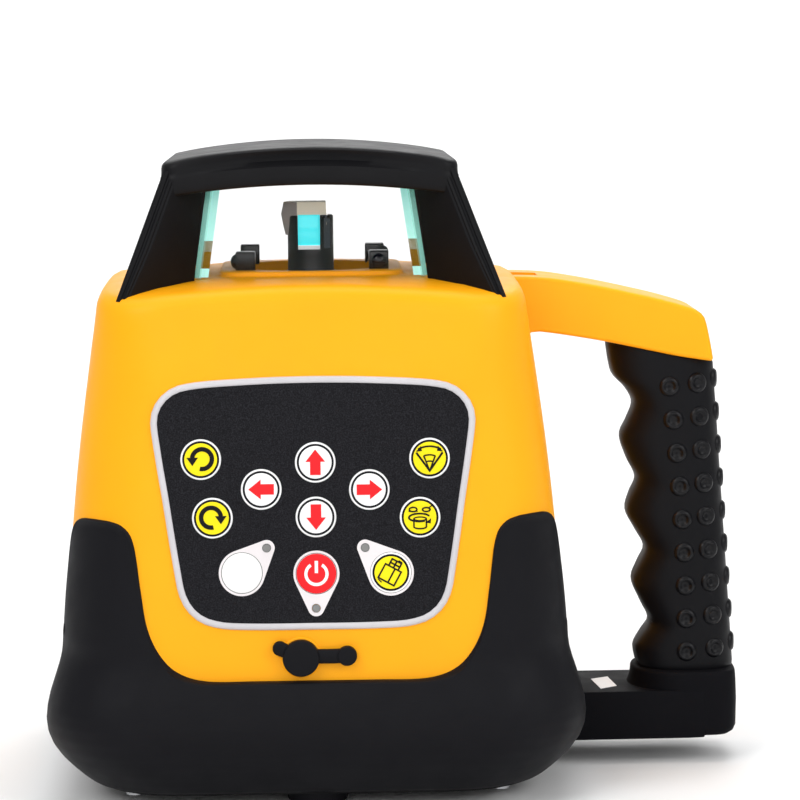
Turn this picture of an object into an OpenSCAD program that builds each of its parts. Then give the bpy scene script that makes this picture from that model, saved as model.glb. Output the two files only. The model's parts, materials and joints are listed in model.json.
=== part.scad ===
// Rotating laser level: casing with a carrying handle, a glazed head under a
// roofed cage, and a self-levelling laser tube hung in a two-axis gimbal.
// Frame: +Z up, origin at the mouth of the tripod thread, keypad towards -Y,
// carrying handle towards +X. Millimetres.

/* [Casing] */
// Full width of the casing at its widest level
body_w = 156; // [152:1:158]
// Width of the casing at its shoulder
shoulder_w = 131.4; // [130:0.2:133]
// Height of the shoulder above the ground
shoulder_z = 157; // [156:0.5:158]
// Radius of the casing's corners in plan
corner_r = 27; // [24:1:30]
// Thickness of the moulded walls
wall = 2.6; // [2.2:0.1:2.8]

/* [Boot] */
// Full width of the rubber boot at its bulge
boot_w = 168; // [166:1:170]
// Height of the bulge
bulge_z = 26; // [25:1:27]
// Height of the four corner ears
ear_z = 90; // [88:1:92]
// Height of the dips between the ears
dip_z = 42; // [41:0.5:44]

/* [Head] */
// Half width of the cage at its foot
cage_foot = 60; // [59:0.5:60]
// Half width of the roof
roof_half = 46; // [45:0.5:47]
// Height of the underside of the roof
roof_z = 190; // [190:0.5:191]
// Height of the roof's crown
crown_z = 203; // [202.5:0.5:204]
// Half width of the glass box at its foot
glass_foot = 36.5; // [36:0.5:37]
// Half width of the glass box at its top
glass_top = 32.3; // [32:0.1:33]
// Thickness of the window glass
glass_t = 2; // [1.8:0.1:2]

/* [Self levelling] */
// Height of the gimbal's two axes
pivot_z = 112; // [112:0.5:113]
// Radius of the laser tube
tube_r = 11; // [10.8:0.1:11]
// Radius of the gimbal pins
pin_r = 1.5; // [1.4:0.1:1.6]
// Distance from the ring's axis to its levelling foot
ring_lever = 44; // [43:0.5:44]
// Distance from the tube's axis to its levelling foot
tube_lever = 38; // [38:0.5:39]

/* [Rotor] */
// Radius of the rotor's upright housing
rotor_r = 7.25; // [7:0.05:7.4]
// Radius of the spindle in its bearings
spindle_r = 4.45; // [4.4:0.01:4.48]
// Radius of the rotor pulley
rotor_pulley_r = 12; // [11:0.5:12]
// Radius of the motor pulley
motor_pulley_r = 4; // [3.5:0.5:4.5]
// Distance between the rotor and its motor
belt_span = 27; // [27:0.5:28]

/* [Handle] */
// Length along X from the laser axis to the outside of the grip's top
grip_x = 130; // [128:1:132]
// Depth of the grip from front to back
grip_d = 29; // [28:1:31]
// Depth of the lower arm from front to back
arm_d = 36.6; // [35:0.2:38]

/* [Keypad] */
// Radius of one key
key_r = 6.2; // [6.1:0.05:6.35]
// Travel of one key
key_travel = 0.5; // [0.4:0.1:0.6]

/* [Tripod mount] */
// Radius of the 5/8 inch tripod thread, kept as a plain wall
thread_r = 7.94; // [7.94:0.01:7.94]
// Depth of the tripod thread
thread_l = 16; // [14:1:16]

/* [Hidden] */

yellow = "#ffb31a";
black = "#26272a";
rubber = "#1e1f21";
steel = "#c0c4c8";
brass = "#c9a24a";
board = "#1f6b3a";

port_x = -4.6;
port_y = -78.3;
port_z = 48.6;
hinge_up = -35;
hinge_out = 1.0;
spigot_x = 114;
eps = 0.01;
gap = 0.15;
base_z = 4;
base_half = 70.6;
floor_z = 7.5;
boot_skin = 1.0;
deck_z = 160.5;

// Half width of the casing at height z: a gentle parabola
function case_half(z) =
    body_w / 2 - (body_w - shoulder_w) / 2 * pow((z - 20) / (shoulder_z - 20), 2);

// Panel plane: the front wall between the heights of the keypad, as a tilt
panel_mid_z = 95.5;
panel_low_z = 57;
panel_high_z = 134;
panel_tilt = atan((case_half(panel_low_z) - case_half(panel_high_z)) / (panel_high_z - panel_low_z));
panel_y = (case_half(panel_low_z) + case_half(panel_high_z)) / 2 + 0.05;

// Places of the keys on the panel, [across, up from the panel's middle]
key_places = [
    [-34.2, 13.4], [-30.9, -4.4], [0.5, 12.1], [0.5, -4.5], [-16, 4.1],
    [16.8, 3.6], [35.2, 12.9], [32.1, -5], [-22.2, -21.2], [0.4, -21.7],
    [23, -21.7]];
receiver_places = [[-20.8, -18], [-20, 20], [21.6, -18], [21, 20]];
led_places = [[-14.6, -13.7], [0.2, -32.2], [15.3, -14]];

// ---- shared shapes ----

// Square slab with round corners
module slab(half, r, h) {
    translate([-half, -(half - r), 0]) cube([2 * half, 2 * (half - r), h]);
    translate([-(half - r), -half, 0]) cube([2 * (half - r), 2 * half, h]);
    for (x = [-1, 1], y = [-1, 1])
        translate([x * (half - r), y * (half - r), 0]) cylinder(r = r, h = h, $fn = 48);
}

// Thin slab at one level, for a hull
module slice(half, r, z) {
    translate([0, 0, z]) slab(half, r, eps);
}

// Rounded upright block
module block(size, r) {
    x = size[0] / 2 - r;
    y = size[1] / 2 - r;
    translate([-x, -size[1] / 2, 0]) cube([2 * x, size[1], size[2]]);
    translate([-size[0] / 2, -y, 0]) cube([size[0], 2 * y, size[2]]);
    for (i = [-1, 1], j = [-1, 1])
        translate([i * x, j * y, 0]) cylinder(r = r, h = size[2], $fn = 32);
}

module ring(outer, inner, h) {
    difference() {
        cylinder(r = outer, h = h, $fn = 96);
        translate([0, 0, -1]) cylinder(r = inner, h = h + 2, $fn = 96);
    }
}

// Children are placed on the panel: local X across, local Y up, local Z outwards
module on_panel() {
    translate([0, -panel_y, panel_mid_z])
        rotate([90 - panel_tilt, 0, 0]) children();
}

// The same plane on the rear wall
module on_rear() {
    rotate([0, 0, 180]) on_panel() children();
}

// Outline of the panel: a trapezoid, wider at its arched top
module panel_outline(grow) {
    arch = [for (i = [-6:6]) [i / 6 * 36.3, 34.8 - 1.25 * pow(i / 6, 2) + grow]];
    right = [[42.9 + grow * 0.7, 31.9 + grow * 0.7], [46.1 + grow, 28.7 + grow * 0.4],
        [47.3 + grow, 24.6], [43.9 + grow, 1], [40.2 + grow, -23.3], [38.9 + grow, -28.4],
        [35.6 + grow * 0.8, -32.9 - grow * 0.6], [29.1, -36.3 - grow]];
    left = [for (i = [1:len(right)]) let (p = right[len(right) - i]) [-p[0], p[1]]];
    polygon(concat(arch, right, left));
}

// ---- casing ----

module casing_skin(inset, low, high) {
    hull() {
        slice(base_half - inset, corner_r - inset, low);
        for (z = [bulge_z, panel_low_z, panel_high_z, 146])
            slice(case_half(z) - inset, corner_r - inset, z);
        slice(shoulder_w / 2 - inset, corner_r - inset, shoulder_z - 3 - inset * 0.4);
        slice(shoulder_w / 2 - 2 - inset, corner_r - 2 - inset, high - 3.2);
        slice(shoulder_w / 2 - 6 - inset, corner_r - 4 - inset, high - 1.2);
        slice(34, 20, high);
    }
}

module upper_arm() {
    rotate([90, 0, 0])
        translate([0, 0, -16]) linear_extrude(height = 32)
            polygon([[61, 138], [63, 158.6], [74, 158.4], [123, 148], [127, 146.2],
                [grip_x - 0.6, 142], [grip_x, 129.8], [96, 135.6], [80, 139],
                [68.5, 134]]);
}

module casing_bosses() {
    for (x = [-1, 1], y = [-1, 1])
        translate([x * 57, y * 57, floor_z + 0.2]) cylinder(r = 4.5, h = 44, $fn = 32);
    intersection() {
        casing_skin(1, floor_z + 0.2, 161);
        for (a = [45, 135, 225, 315])
            rotate([0, 0, a]) translate([84, -1, floor_z + 0.2]) cube([18, 2, 44]);
    }
}

module upper_casing() {
    color(yellow) difference() {
        union() {
            resize([0, 0, 0]) difference() {
                casing_skin(0, floor_z + 0.2, 161);
                casing_skin(wall, floor_z - 4, 158);
            }
            upper_arm();
            casing_bosses();
            door_hinge_barrel();
            translate([port_x, -77.9, port_z]) rotate([-90, 0, 0]) cylinder(r = 6.3, h = 3, $fn = 48);
            translate([0, 0, 155]) ring(30, 25, 7.6);
        }
        translate([0, 0, 150]) cylinder(r = 25, h = 20, $fn = 96);
        for (x = [-1, 1], y = [-1, 1])
            translate([x * 57, y * 57, floor_z - 1]) cylinder(r = 1.25, h = 30, $fn = 24);
        for (x = [-1, 1], y = [-1, 1])
            translate([x * 50, y * 50, 145]) cylinder(r = 1.7, h = 30, $fn = 24);
        on_panel() {
            translate([-43, -11.5, -6]) cube([86, 33, 12]);
            translate([-31, -29.5, -6]) cube([62, 19, 12]);
            for (p = led_places)
                translate([p[0], p[1], -6]) cylinder(r = 1.3, h = 12, $fn = 32);
        }
        on_rear() {
            translate([-50.4, -32.8, -8]) cube([100.8, 68.2, 16]);
            for (s = [-1, 1])
                translate([s * 34.1 - 6.3, -38, -1.7]) cube([12.6, 6, 12]);
            translate([-45, hinge_up, hinge_out]) rotate([0, 90, 0]) cylinder(r = 1, h = 90, $fn = 32);
        }
        translate([port_x, -90, port_z]) rotate([-90, 0, 0]) cylinder(r = 4.6, h = 30, $fn = 48);
        translate([9.2, -90, 49.1]) rotate([-90, 0, 0]) cylinder(r = 1.6, h = 30, $fn = 32);
        translate([50, -arm_d / 2 - gap, floor_z - 2]) cube([50, arm_d + 2 * gap, 19]);
        translate([spigot_x, 0, 120]) cylinder(r = 4.1, h = 21.5, $fn = 48);
        for (p = receiver_places)
            translate([p[0] - 3.4, p[1] - 3.4, 161.7]) cube([6.8, 6.8, 3]);
    }
}

// ---- rubber boot ----

module boot_skin_solid() {
    hull() {
        for (z = [44, 60, 76, ear_z])
            slice(case_half(z) + boot_skin, corner_r + boot_skin, z);
    }
    hull() {
        for (a = [-60, -45, -30, -15, 0])
            slice(boot_w / 2 - 24.3 * (1 - cos(a)), corner_r + 3, bulge_z + 24.3 * sin(a));
        for (a = [14, 28])
            slice(boot_w / 2 - 47 * (1 - cos(a)), corner_r + 2, bulge_z + 47 * sin(a));
    }
}

// Outline of one dip between two ears, with round lower corners
module dip_outline() {
    ear = [[66, ear_z + 6], [62.5, ear_z - 1], [58, ear_z - 5], [55, 70], [52, 58]];
    corner = [for (a = [0:15:90]) [32 + 18 * cos(a), dip_z + 10 * (1 - sin(a))]];
    half = concat(ear, corner);
    count = len(half);
    polygon(concat(half, [for (i = [1:count]) [-half[count - i][0], half[count - i][1]]]));
}

module rubber_boot() {
    color(rubber) resize([0, 0, 0]) difference() {
        boot_skin_solid();
        casing_skin(-0.05, floor_z + 0.1, 161);
        slab(base_half + 0.05, corner_r, floor_z + 0.2);
        for (a = [0, 90, 180, 270])
            rotate([90, 0, a]) translate([0, 0, 60]) linear_extrude(height = 40) dip_outline();
        translate([60, -arm_d / 2 - gap, 0]) cube([40, arm_d + 2 * gap, 24.6]);
    }
}

// ---- base ----

module base_plate() {
    color(black) difference() {
        union() {
            translate([0, 0, base_z]) slab(base_half - 2, corner_r, 1.2);
            translate([0, 0, base_z + 1.2]) slab(base_half - 0.2, corner_r, floor_z - base_z - 1.2);
            cylinder(r = 20, h = 12, $fn = 96);
            for (x = [-1, 1], y = [-38, 28])
                translate([x * 42, y, floor_z - 1]) cylinder(r = 6, h = 5, $fn = 32);
        }
        translate([0, 0, -1]) cylinder(r = 12, h = 30, $fn = 96);
        for (a = [-90, 30, 150])
            rotate([0, 0, a]) translate([59, 0, 0]) cylinder(r = 3, h = 20, $fn = 32);
        for (x = [-1, 1], y = [-1, 1])
            translate([x * 57, y * 57, 0]) cylinder(r = 1.7, h = 20, $fn = 24);
        for (y = [-1, 1])
            translate([60, y * 12, 0]) cylinder(r = 1.7, h = 20, $fn = 24);
    }
}

module rubber_feet() {
    color(rubber) for (a = [-90, 30, 150])
        rotate([0, 0, a]) translate([59, 0, 0]) {
            cylinder(r = 9.5, h = base_z, $fn = 64);
            cylinder(r = 3, h = floor_z - 0.5, $fn = 32);
        }
}

module tripod_insert() {
    color(brass) ring(12, thread_r, thread_l);
}

module lower_arm() {
    color(black) difference() {
        rotate([90, 0, 0]) translate([0, 0, -arm_d / 2]) linear_extrude(height = arm_d)
            polygon([[55, 7.5], [76, 7.5], [80, 9.7], [126, 9.7], [133, 11.5],
                [136.5, 15], [137, 30], [103.5, 30], [103.5, 24.2], [55, 24.2]]);
        translate([120, 0, 0]) cylinder(r = 1.7, h = 40, $fn = 24);
        translate([120, 0, 0]) cylinder(r = 4, h = 13, $fn = 32);
        for (y = [-1, 1])
            translate([60, y * 12, 0]) cylinder(r = 1.25, h = 20, $fn = 24);
    }
}

module core_outline(grow) {
    polygon([[110 - grow, 30.2], [127 + grow, 30.2], [123 + grow, 100],
        [120 + grow, 130.6], [110 - grow, 132.3]]);
}

module handle_core() {
    color(black) difference() {
        union() {
            rotate([90, 0, 0]) translate([0, 0, -7]) linear_extrude(height = 14) core_outline(0);
            translate([spigot_x, 0, 120]) cylinder(r = 4, h = 21, $fn = 48);
        }
        translate([120, 0, 0]) cylinder(r = 1.25, h = 60, $fn = 24);
    }
}

// Grip outline in the XZ plane: wavy finger grooves inside, gentle bow outside
function grip_inner(z) = 106.3 - 0.075 * (z - 30) + 2 * cos(360 * (z - 47.5) / 23.3);
function grip_outer(z) = 137 - (z - 30) * 0.065;

// Side outline of the grip, cut by the underside of the upper arm
module grip_outline() {
    low = 30.2;
    high = 134.9;
    inner = [for (i = [0:40]) let (z = low + (high - low) * i / 40) [grip_inner(z), z]];
    outer = [[grip_outer(129), 129.2], [grip_outer(low), low]];
    polygon(concat(inner, outer));
}

module grip_envelope() {
    hull() {
        translate([119.7, 0, 30]) block([40, grip_d, eps], 12);
        translate([115, 0, 137]) block([40, grip_d, eps], 12);
    }
}

module handle_grip() {
    color(rubber) difference() {
        intersection() {
            rotate([90, 0, 0]) translate([0, 0, -grip_d]) linear_extrude(height = 2 * grip_d)
                grip_outline();
            grip_envelope();
        }
        rotate([90, 0, 0]) translate([0, 0, -7.05]) linear_extrude(height = 14.1)
            core_outline(0.05);
        translate([spigot_x, 0, 120]) cylinder(r = 4.1, h = 21, $fn = 48);
    }
}

// ---- cage and windows ----

module cage_post() {
    hull() {
        translate([0, 0, 153.5]) linear_extrude(height = eps)
            polygon([[cage_foot, cage_foot], [cage_foot - 7, cage_foot], [37.5, 37.5],
                [cage_foot, cage_foot - 7]]);
        translate([0, 0, roof_z + 1]) linear_extrude(height = eps)
            polygon([[roof_half, roof_half], [roof_half - 5, roof_half], [33.6, 33.6],
                [roof_half, roof_half - 5]]);
    }
}

module roof_cage() {
    color(black) difference() {
        union() {
            difference() {
                for (a = [0, 90, 180, 270]) rotate([0, 0, a]) cage_post();
                casing_skin(-0.1, 100, 161);
            }
            hull() {
                slice(roof_half - 0.6, 5, roof_z);
                slice(roof_half, 5, roof_z + 5.5);
                slice(roof_half - 4, 8, roof_z + 9.5);
                slice(roof_half - 22, 12, crown_z - eps);
            }
        }
        translate([0, 0, roof_z - 4]) slab(glass_top + 0.6, 3, 4.6);
        for (x = [-1, 1], y = [-1, 1])
            translate([x * 50, y * 50, 145]) cylinder(r = 1.25, h = 20, $fn = 24);
    }
}

// One leaning pane facing -Y; trim shortens it at both ends
module pane(trim) {
    lean = atan((glass_foot - glass_top) / (roof_z - deck_z - 1));
    low = glass_foot - trim;
    high = glass_top - trim;
    length = (roof_z - deck_z - 1) / cos(lean);
    translate([0, -glass_foot, 161.4]) rotate([90 - lean, 0, 0])
        translate([0, 0, -glass_t]) linear_extrude(height = glass_t)
            polygon([[-low, 0], [low, 0], [high, length], [-high, length]]);
}

module front_glass() { color("#bfeee6", 0.4) pane(glass_t + 0.5); }
module rear_glass() { color("#bfeee6", 0.4) rotate([0, 0, 180]) pane(glass_t + 0.5); }
module left_glass() { color("#bfeee6", 0.4) rotate([0, 0, -90]) pane(0.3); }
module right_glass() { color("#bfeee6", 0.4) rotate([0, 0, 90]) pane(0.3); }

// ---- receivers on the deck ----

module receiver() {
    translate([-3, -1.6, 0]) cube([6, 3.2, 6.6]);
    intersection() {
        translate([0, -1.6, 3.6]) sphere(r = 2.4, $fn = 32);
        translate([-3, -5, 0]) cube([6, 3.4, 6.6]);
    }
}

module remote_receivers() {
    color(black) {
        translate([-20.8, -18, 161.8]) rotate([0, 0, -90]) receiver();
        translate([-20, 20, 161.8]) rotate([0, 0, 180]) receiver();
        translate([21.6, -18, 161.8]) receiver();
        translate([21, 20, 161.8]) rotate([0, 0, 90]) receiver();
    }
}

// Pale foam ring that closes the well below the rotor
module dust_seal() {
    color("#d9d4c8") translate([0, 0, 155.4]) ring(24.9, 15.6, 1.6);
}

// ---- rotor ----

module prism_housing() {
    color(black) difference() {
        union() {
            translate([0, 0, 161]) cylinder(r = rotor_r, h = 18, $fn = 64);
            translate([0, 0, 159]) cylinder(r = 8.6, h = 2, $fn = 64);
        }
        translate([-5.1, -5.1, 166.4]) cube([10.2, 10.2, 20]);
        rotate([0, 0, 12]) translate([-4.1, -12, 167.2]) cube([8.2, 8, 12.5]);
        translate([0, 0, 158]) cylinder(r = 2.9, h = 20, $fn = 48);
    }
}

module pentaprism() {
    color("#9fe8f0", 0.6) translate([0, 0, 166.4]) rotate([0, 0, 0])
        intersection() {
            translate([-5, -5, 0]) cube([10, 10, 17]);
            rotate([90, 0, 90]) translate([0, 0, -5]) linear_extrude(height = 10)
                polygon([[-5, 0], [5, 0], [5, 10], [1.5, 17], [-5, 14]]);
        }
}

module spindle() {
    color(steel) difference() {
        union() {
            translate([0, 0, 125]) cylinder(r = spindle_r, h = 34, $fn = 64);
        }
        translate([0, 0, 120]) cylinder(r = 2.9, h = 50, $fn = 48);
    }
}

module grooved_pulley(r, bore) {
    rotate_extrude($fn = 96)
        polygon([[bore, 0], [r, 0], [r, 2], [r - 1.6, 3.5], [r, 5], [r, 7], [bore, 7]]);
}

module rotor_pulley() {
    color(black) translate([0, 0, 144.5]) grooved_pulley(rotor_pulley_r, spindle_r);
}

module motor_pulley() {
    color(brass) translate([-belt_span, 0, 144.5]) difference() {
        grooved_pulley(motor_pulley_r, 1.0);
        translate([0, 0, -1]) cylinder(r = 1.0, h = 1.2, $fn = 32);
    }
}

// Round belt round both pulleys: two straight runs and two arcs
module drive_belt() {
    r1 = rotor_pulley_r - 0.1;
    r2 = motor_pulley_r - 0.1;
    lean = asin((r1 - r2) / belt_span);
    run = belt_span * cos(lean);
    color("#303030") translate([0, 0, 148]) {
        rotate([0, 0, -90 - lean]) rotate_extrude(angle = 180 + 2 * lean, $fn = 96)
            translate([r1, 0]) circle(r = 0.9, $fn = 24);
        translate([-belt_span, 0, 0]) rotate([0, 0, 90 + lean])
            rotate_extrude(angle = 180 - 2 * lean, $fn = 64)
                translate([r2, 0]) circle(r = 0.9, $fn = 24);
        for (s = [-1, 1])
            translate([r1 * cos(s * (90 + lean)), r1 * sin(s * (90 + lean)), 0])
                rotate([0, 0, s * lean]) translate([0.2, 0, 0]) rotate([0, -90, 0])
                    cylinder(r = 0.88, h = run + 0.4, $fn = 24);
    }
}

module spin_motor() {
    color(steel) translate([-belt_span, 0, 0]) {
        translate([0, 0, 121]) cylinder(r = 8.5, h = 19.2, $fn = 64);
        translate([0, 0, 140]) cylinder(r = 2.9, h = 2.4, $fn = 48);
        translate([0, 0, 142]) cylinder(r = 0.95, h = 9, $fn = 32);
    }
}

// ---- laser tube and gimbal ----

module laser_tube() {
    color("#8a8d92") difference() {
        union() {
            translate([0, 0, 68]) cylinder(r = tube_r, h = 73, $fn = 96);
            translate([0, 0, 140.2]) cylinder(r = 15, h = 2.4, $fn = 64);
            translate([-belt_span - 8, -8, 140.2]) cube([belt_span + 8, 16, 2.4]);
            translate([0, 0, 86]) cylinder(r = 21.5, h = 2, $fn = 96);
            translate([-2.5, -tube_lever, 98]) cube([5, tube_lever - 9, 4]);
            translate([-3, -tube_lever, 98]) rotate([0, 90, 0]) cylinder(r = 2, h = 6, $fn = 48);
        }
        translate([0, 0, 67]) cylinder(r = 8, h = 73, $fn = 96);
        translate([0, 0, 139]) cylinder(r = 5.2, h = 5, $fn = 48);
        translate([-belt_span, 0, 139]) cylinder(r = 3, h = 5, $fn = 48);
        translate([-20, 0, pivot_z]) rotate([0, 90, 0]) cylinder(r = pin_r, h = 40, $fn = 48);
    }
}

module collimator_lens() {
    color("#bfe6ff", 0.6) translate([0, 0, 104]) cylinder(r = 7.95, h = 3, $fn = 64);
}

module laser_diode_module() {
    color(brass) {
        translate([0, 0, 62]) cylinder(r = 10, h = 5.9, $fn = 64);
        translate([0, 0, 67.8]) cylinder(r = 7.95, h = 12, $fn = 64);
    }
}

module spindle_bearings() {
    color(steel) for (z = [126, 134.8])
        translate([0, 0, z]) ring(7.98, spindle_r + 0.05, 5);
}

module tube_pins() {
    color(steel) for (s = [-1, 1])
        translate([s * 14.4, 0, pivot_z]) rotate([0, 90, 0])
            translate([0, 0, -6]) cylinder(r = pin_r, h = 12, $fn = 48);
}

module gimbal_ring() {
    color("#8a8d92") difference() {
        union() {
            translate([0, 0, pivot_z - 3]) ring(21, 15.5, 6);
            translate([18, -2.5, pivot_z - 4]) cube([ring_lever - 18, 5, 3]);
            translate([ring_lever, 5, pivot_z - 3]) rotate([90, 0, 0])
                cylinder(r = 2, h = 10, $fn = 48);
        }
        translate([-25, 0, pivot_z]) rotate([0, 90, 0])
            cylinder(r = pin_r + 0.05, h = 50, $fn = 48);
        translate([0, 25, pivot_z]) rotate([90, 0, 0]) cylinder(r = pin_r, h = 50, $fn = 48);
    }
}

module ring_pins() {
    color(steel) for (s = [-1, 1])
        translate([0, s * 22, pivot_z]) rotate([90, 0, 0])
            translate([0, 0, -6]) cylinder(r = pin_r, h = 12, $fn = 48);
}

module gimbal_frame() {
    color("#5c6066") difference() {
        union() {
            translate([-50, -45, 78]) cube([102, 76, 3]);
            for (s = [-1, 1])
                translate([-8, s * 26 - 2, 80]) cube([16, 4, 38]);
            for (x = [-1, 1], y = [-38, 28])
                translate([x * 42, y, 12.6]) cylinder(r = 4, h = 66, $fn = 32);
        }
        translate([0, 0, 70]) cylinder(r = 18, h = 20, $fn = 96);
        translate([ring_lever, 0, 70]) cylinder(r = 5.6, h = 20, $fn = 48);
        translate([0, -tube_lever, 70]) cylinder(r = 5.6, h = 20, $fn = 48);
        translate([-4.5, -30, 91]) cube([9, 8, 14]);
        translate([0, 30, pivot_z]) rotate([90, 0, 0])
            cylinder(r = pin_r + 0.05, h = 60, $fn = 48);
    }
}

module level_sensors() {
    color("#b9d7c0") {
        translate([-9, 17, 92.5]) rotate([0, 90, 0]) cylinder(r = 3.5, h = 18, $fn = 48);
        translate([17, 9, 92.5]) rotate([90, 0, 0]) cylinder(r = 3.5, h = 18, $fn = 48);
    }
    color(black) {
        translate([-7, 15, 88]) cube([14, 4, 1.6]);
        translate([15, -7, 88]) cube([4, 14, 1.6]);
    }
}

// Levelling motor under the frame plate with its lead screw standing up
module level_motor(top) {
    translate([0, 0, 58]) cylinder(r = 7, h = 20, $fn = 64);
    translate([0, 0, 77.9]) cylinder(r = 2.6, h = 1.6, $fn = 32);
    translate([0, 0, 79]) cylinder(r = 1.45, h = top - 79, $fn = 32);
}

module traveller_nut(low, high) {
    difference() {
        translate([0, 0, low]) cylinder(r = 5, h = high - low, $fn = 64);
        translate([0, 0, low - 1]) cylinder(r = 1.5, h = high - low - 0.4, $fn = 32);
    }
}

module level_motor_x() { color(steel) translate([0, -tube_lever, 0]) level_motor(90.6); }
module level_motor_y() { color(steel) translate([ring_lever, 0, 0]) level_motor(99.8); }
module traveller_nut_x() {
    color(brass) translate([0, -tube_lever, 0]) traveller_nut(86, 95.7);
}
module traveller_nut_y() {
    color(brass) translate([ring_lever, 0, 0]) traveller_nut(92, 106.7);
}

// ---- keypad ----

module keypad_overlay() {
    color(black) on_panel() difference() {
        linear_extrude(height = 0.7) panel_outline(0);
        for (p = key_places)
            translate([p[0], p[1], -1]) cylinder(r = key_r + 0.1, h = 3, $fn = 48);
        for (p = led_places)
            translate([p[0], p[1], -1]) cylinder(r = 1.3, h = 3, $fn = 32);
    }
}

module keypad_bezel() {
    color("#d8dadc") on_panel() difference() {
        linear_extrude(height = 0.9) panel_outline(1.9);
        translate([0, 0, -1]) linear_extrude(height = 3) panel_outline(0.05);
    }
}

module keypad_board() {
    color(board) on_panel() {
        translate([-43, -35, -4.9]) cube([86, 56.5, 1.2]);
        for (p = key_places)
            translate([p[0], p[1], -3.8]) cylinder(r = 3, h = 1.6, $fn = 32);
    }
}

module key(i) {
    p = key_places[i];
    on_panel() translate([p[0], p[1], 0]) {
        translate([0, 0, 0.35]) cylinder(r = key_r, h = 0.65, $fn = 48);
        translate([0, 0, -1.6]) cylinder(r = 1.6, h = 2, $fn = 32);
    }
}

module key_turn_left() { color("#ffe11a") key(0); }
module key_turn_right() { color("#ffe11a") key(1); }
module key_up() { color("white") key(2); }
module key_down() { color("white") key(3); }
module key_left() { color("white") key(4); }
module key_right() { color("white") key(5); }
module key_scan() { color("#ffe11a") key(6); }
module key_speed() { color("#ffe11a") key(7); }
module key_manual() { color("white") key(8); }
module key_power() { color("#e02030") key(9); }
module key_shock() { color("#ffe11a") key(10); }

module status_leds() {
    color("#8f9aa0") on_panel() for (p = led_places)
        translate([p[0], p[1], -2.5]) cylinder(r = 1.2, h = 3.5, $fn = 32);
}

// ---- electronics and power ----

module main_board() {
    color(board) translate([-60.5, -34, 44]) cube([1.6, 68, 62]);
    color(black) {
        translate([-58.95, -20, 60]) cube([2.5, 16, 16]);
        translate([-58.95, 6, 64]) cube([4, 18, 10]);
        translate([-58.95, -12, 88]) cube([7, 10, 10]);
        translate([-58.95, 14, 90]) cube([9, 9, 9]);
    }
}

module charge_socket() {
    color(black) translate([port_x, -77.6, port_z]) rotate([-90, 0, 0]) difference() {
        union() {
            cylinder(r = 4.5, h = 12, $fn = 48);
            translate([0, 0, 3.5]) cylinder(r = 6, h = 8.4, $fn = 48);
        }
        translate([0, 0, -1]) cylinder(r = 2.8, h = 11, $fn = 48);
    }
}

// Rubber flap over the socket: disc with a plug, thumb ear and its half of the strap
module port_cover() {
    color(rubber) translate([0, port_y, 0]) {
        translate([port_x, 0, port_z]) rotate([90, 0, 0]) cylinder(r = 5.5, h = 2.4, $fn = 64);
        translate([port_x, 2, port_z]) rotate([90, 0, 0]) cylinder(r = 2.2, h = 2.1, $fn = 48);
        translate([-11, 0, 51.6]) rotate([90, 0, 0]) cylinder(r = 2.1, h = 1.6, $fn = 32);
        translate([-10.5, -1.6, 49.8]) cube([5, 1.6, 2.6]);
        translate([-1, -1.6, 46.6]) cube([6, 1.6, 4.7]);
        translate([5, -0.8, 46.6]) cylinder(r = 0.8, h = 4.7, $fn = 32);
    }
}

module port_cover_anchor() {
    color(rubber) translate([0, port_y, 0]) {
        translate([9.2, 0, 49.1]) rotate([90, 0, 0]) cylinder(r = 2.9, h = 2, $fn = 48);
        translate([9.2, 5, 49.1]) rotate([90, 0, 0]) cylinder(r = 1.55, h = 5.1, $fn = 32);
        translate([6.1, -1.6, 46.7]) cube([3.1, 1.6, 4.5]);
    }
}

module battery_holder() {
    color(black) difference() {
        translate([-54, 37, 53]) cube([108, 31, 57]);
        for (z = [67, 95.6])
            translate([-51.6, 52.5, z]) rotate([0, 90, 0]) cylinder(r = 13.3, h = 103.2, $fn = 64);
        translate([-51.6, 52.5, 53.7]) cube([103.2, 30, 55.2]);
    }
}

module battery_cells() {
    color("#3d6fb0") for (x = [-1, 1], z = [67, 95.6])
        translate([x * 25.4, 52.5, z]) rotate([0, 90, 0]) {
            translate([0, 0, -24.4]) cylinder(r = 13, h = 47.6, $fn = 64);
            translate([0, 0, 23.1]) cylinder(r = 3, h = 1.9, $fn = 32);
        }
}

// Casing's half of the door hinge: one long barrel on a foot
module door_hinge_barrel() {
    on_rear() {
        translate([-27.6, hinge_up, hinge_out]) rotate([0, 90, 0])
            cylinder(r = 2.2, h = 55.2, $fn = 48);
        translate([-27.6, hinge_up - 2.2, -2]) cube([55.2, 2.2, 3]);
    }
}

module battery_door() {
    color(black) on_rear() difference() {
        union() {
            translate([-50, -32.4, -2.4]) cube([100, 67.4, 3.4]);
            for (s = [-1, 1])
                translate([s * 34.1 - 6, 0, 0]) {
                    translate([0, hinge_up, hinge_out]) rotate([0, 90, 0])
                        cylinder(r = 2.2, h = 12, $fn = 48);
                    translate([0, hinge_up, -1.2]) cube([12, 4, 2.2]);
                }
        }
        translate([-45, hinge_up, hinge_out]) rotate([0, 90, 0])
            cylinder(r = 1.05, h = 90, $fn = 32);
        translate([0, 28, -5]) cylinder(r = 4.05, h = 10, $fn = 64);
    }
}

module door_hinge_pin() {
    color(steel) on_rear() translate([-40, hinge_up, hinge_out]) rotate([0, 90, 0])
        cylinder(r = 1, h = 80, $fn = 32);
}

// Quarter-turn knob with a locking tongue behind the door
module door_knob() {
    color(black) on_rear() translate([0, 28, 0]) {
        translate([0, 0, -6]) cylinder(r = 4, h = 8, $fn = 64);
        translate([0, 0, 1.3]) cylinder(r = 7, h = 2.5, $fn = 64);
        translate([-1.4, -6.6, 3.7]) cube([2.8, 13.2, 2.6]);
        translate([-9, -3, -6.6]) cube([18, 6, 2]);
    }
}

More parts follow.
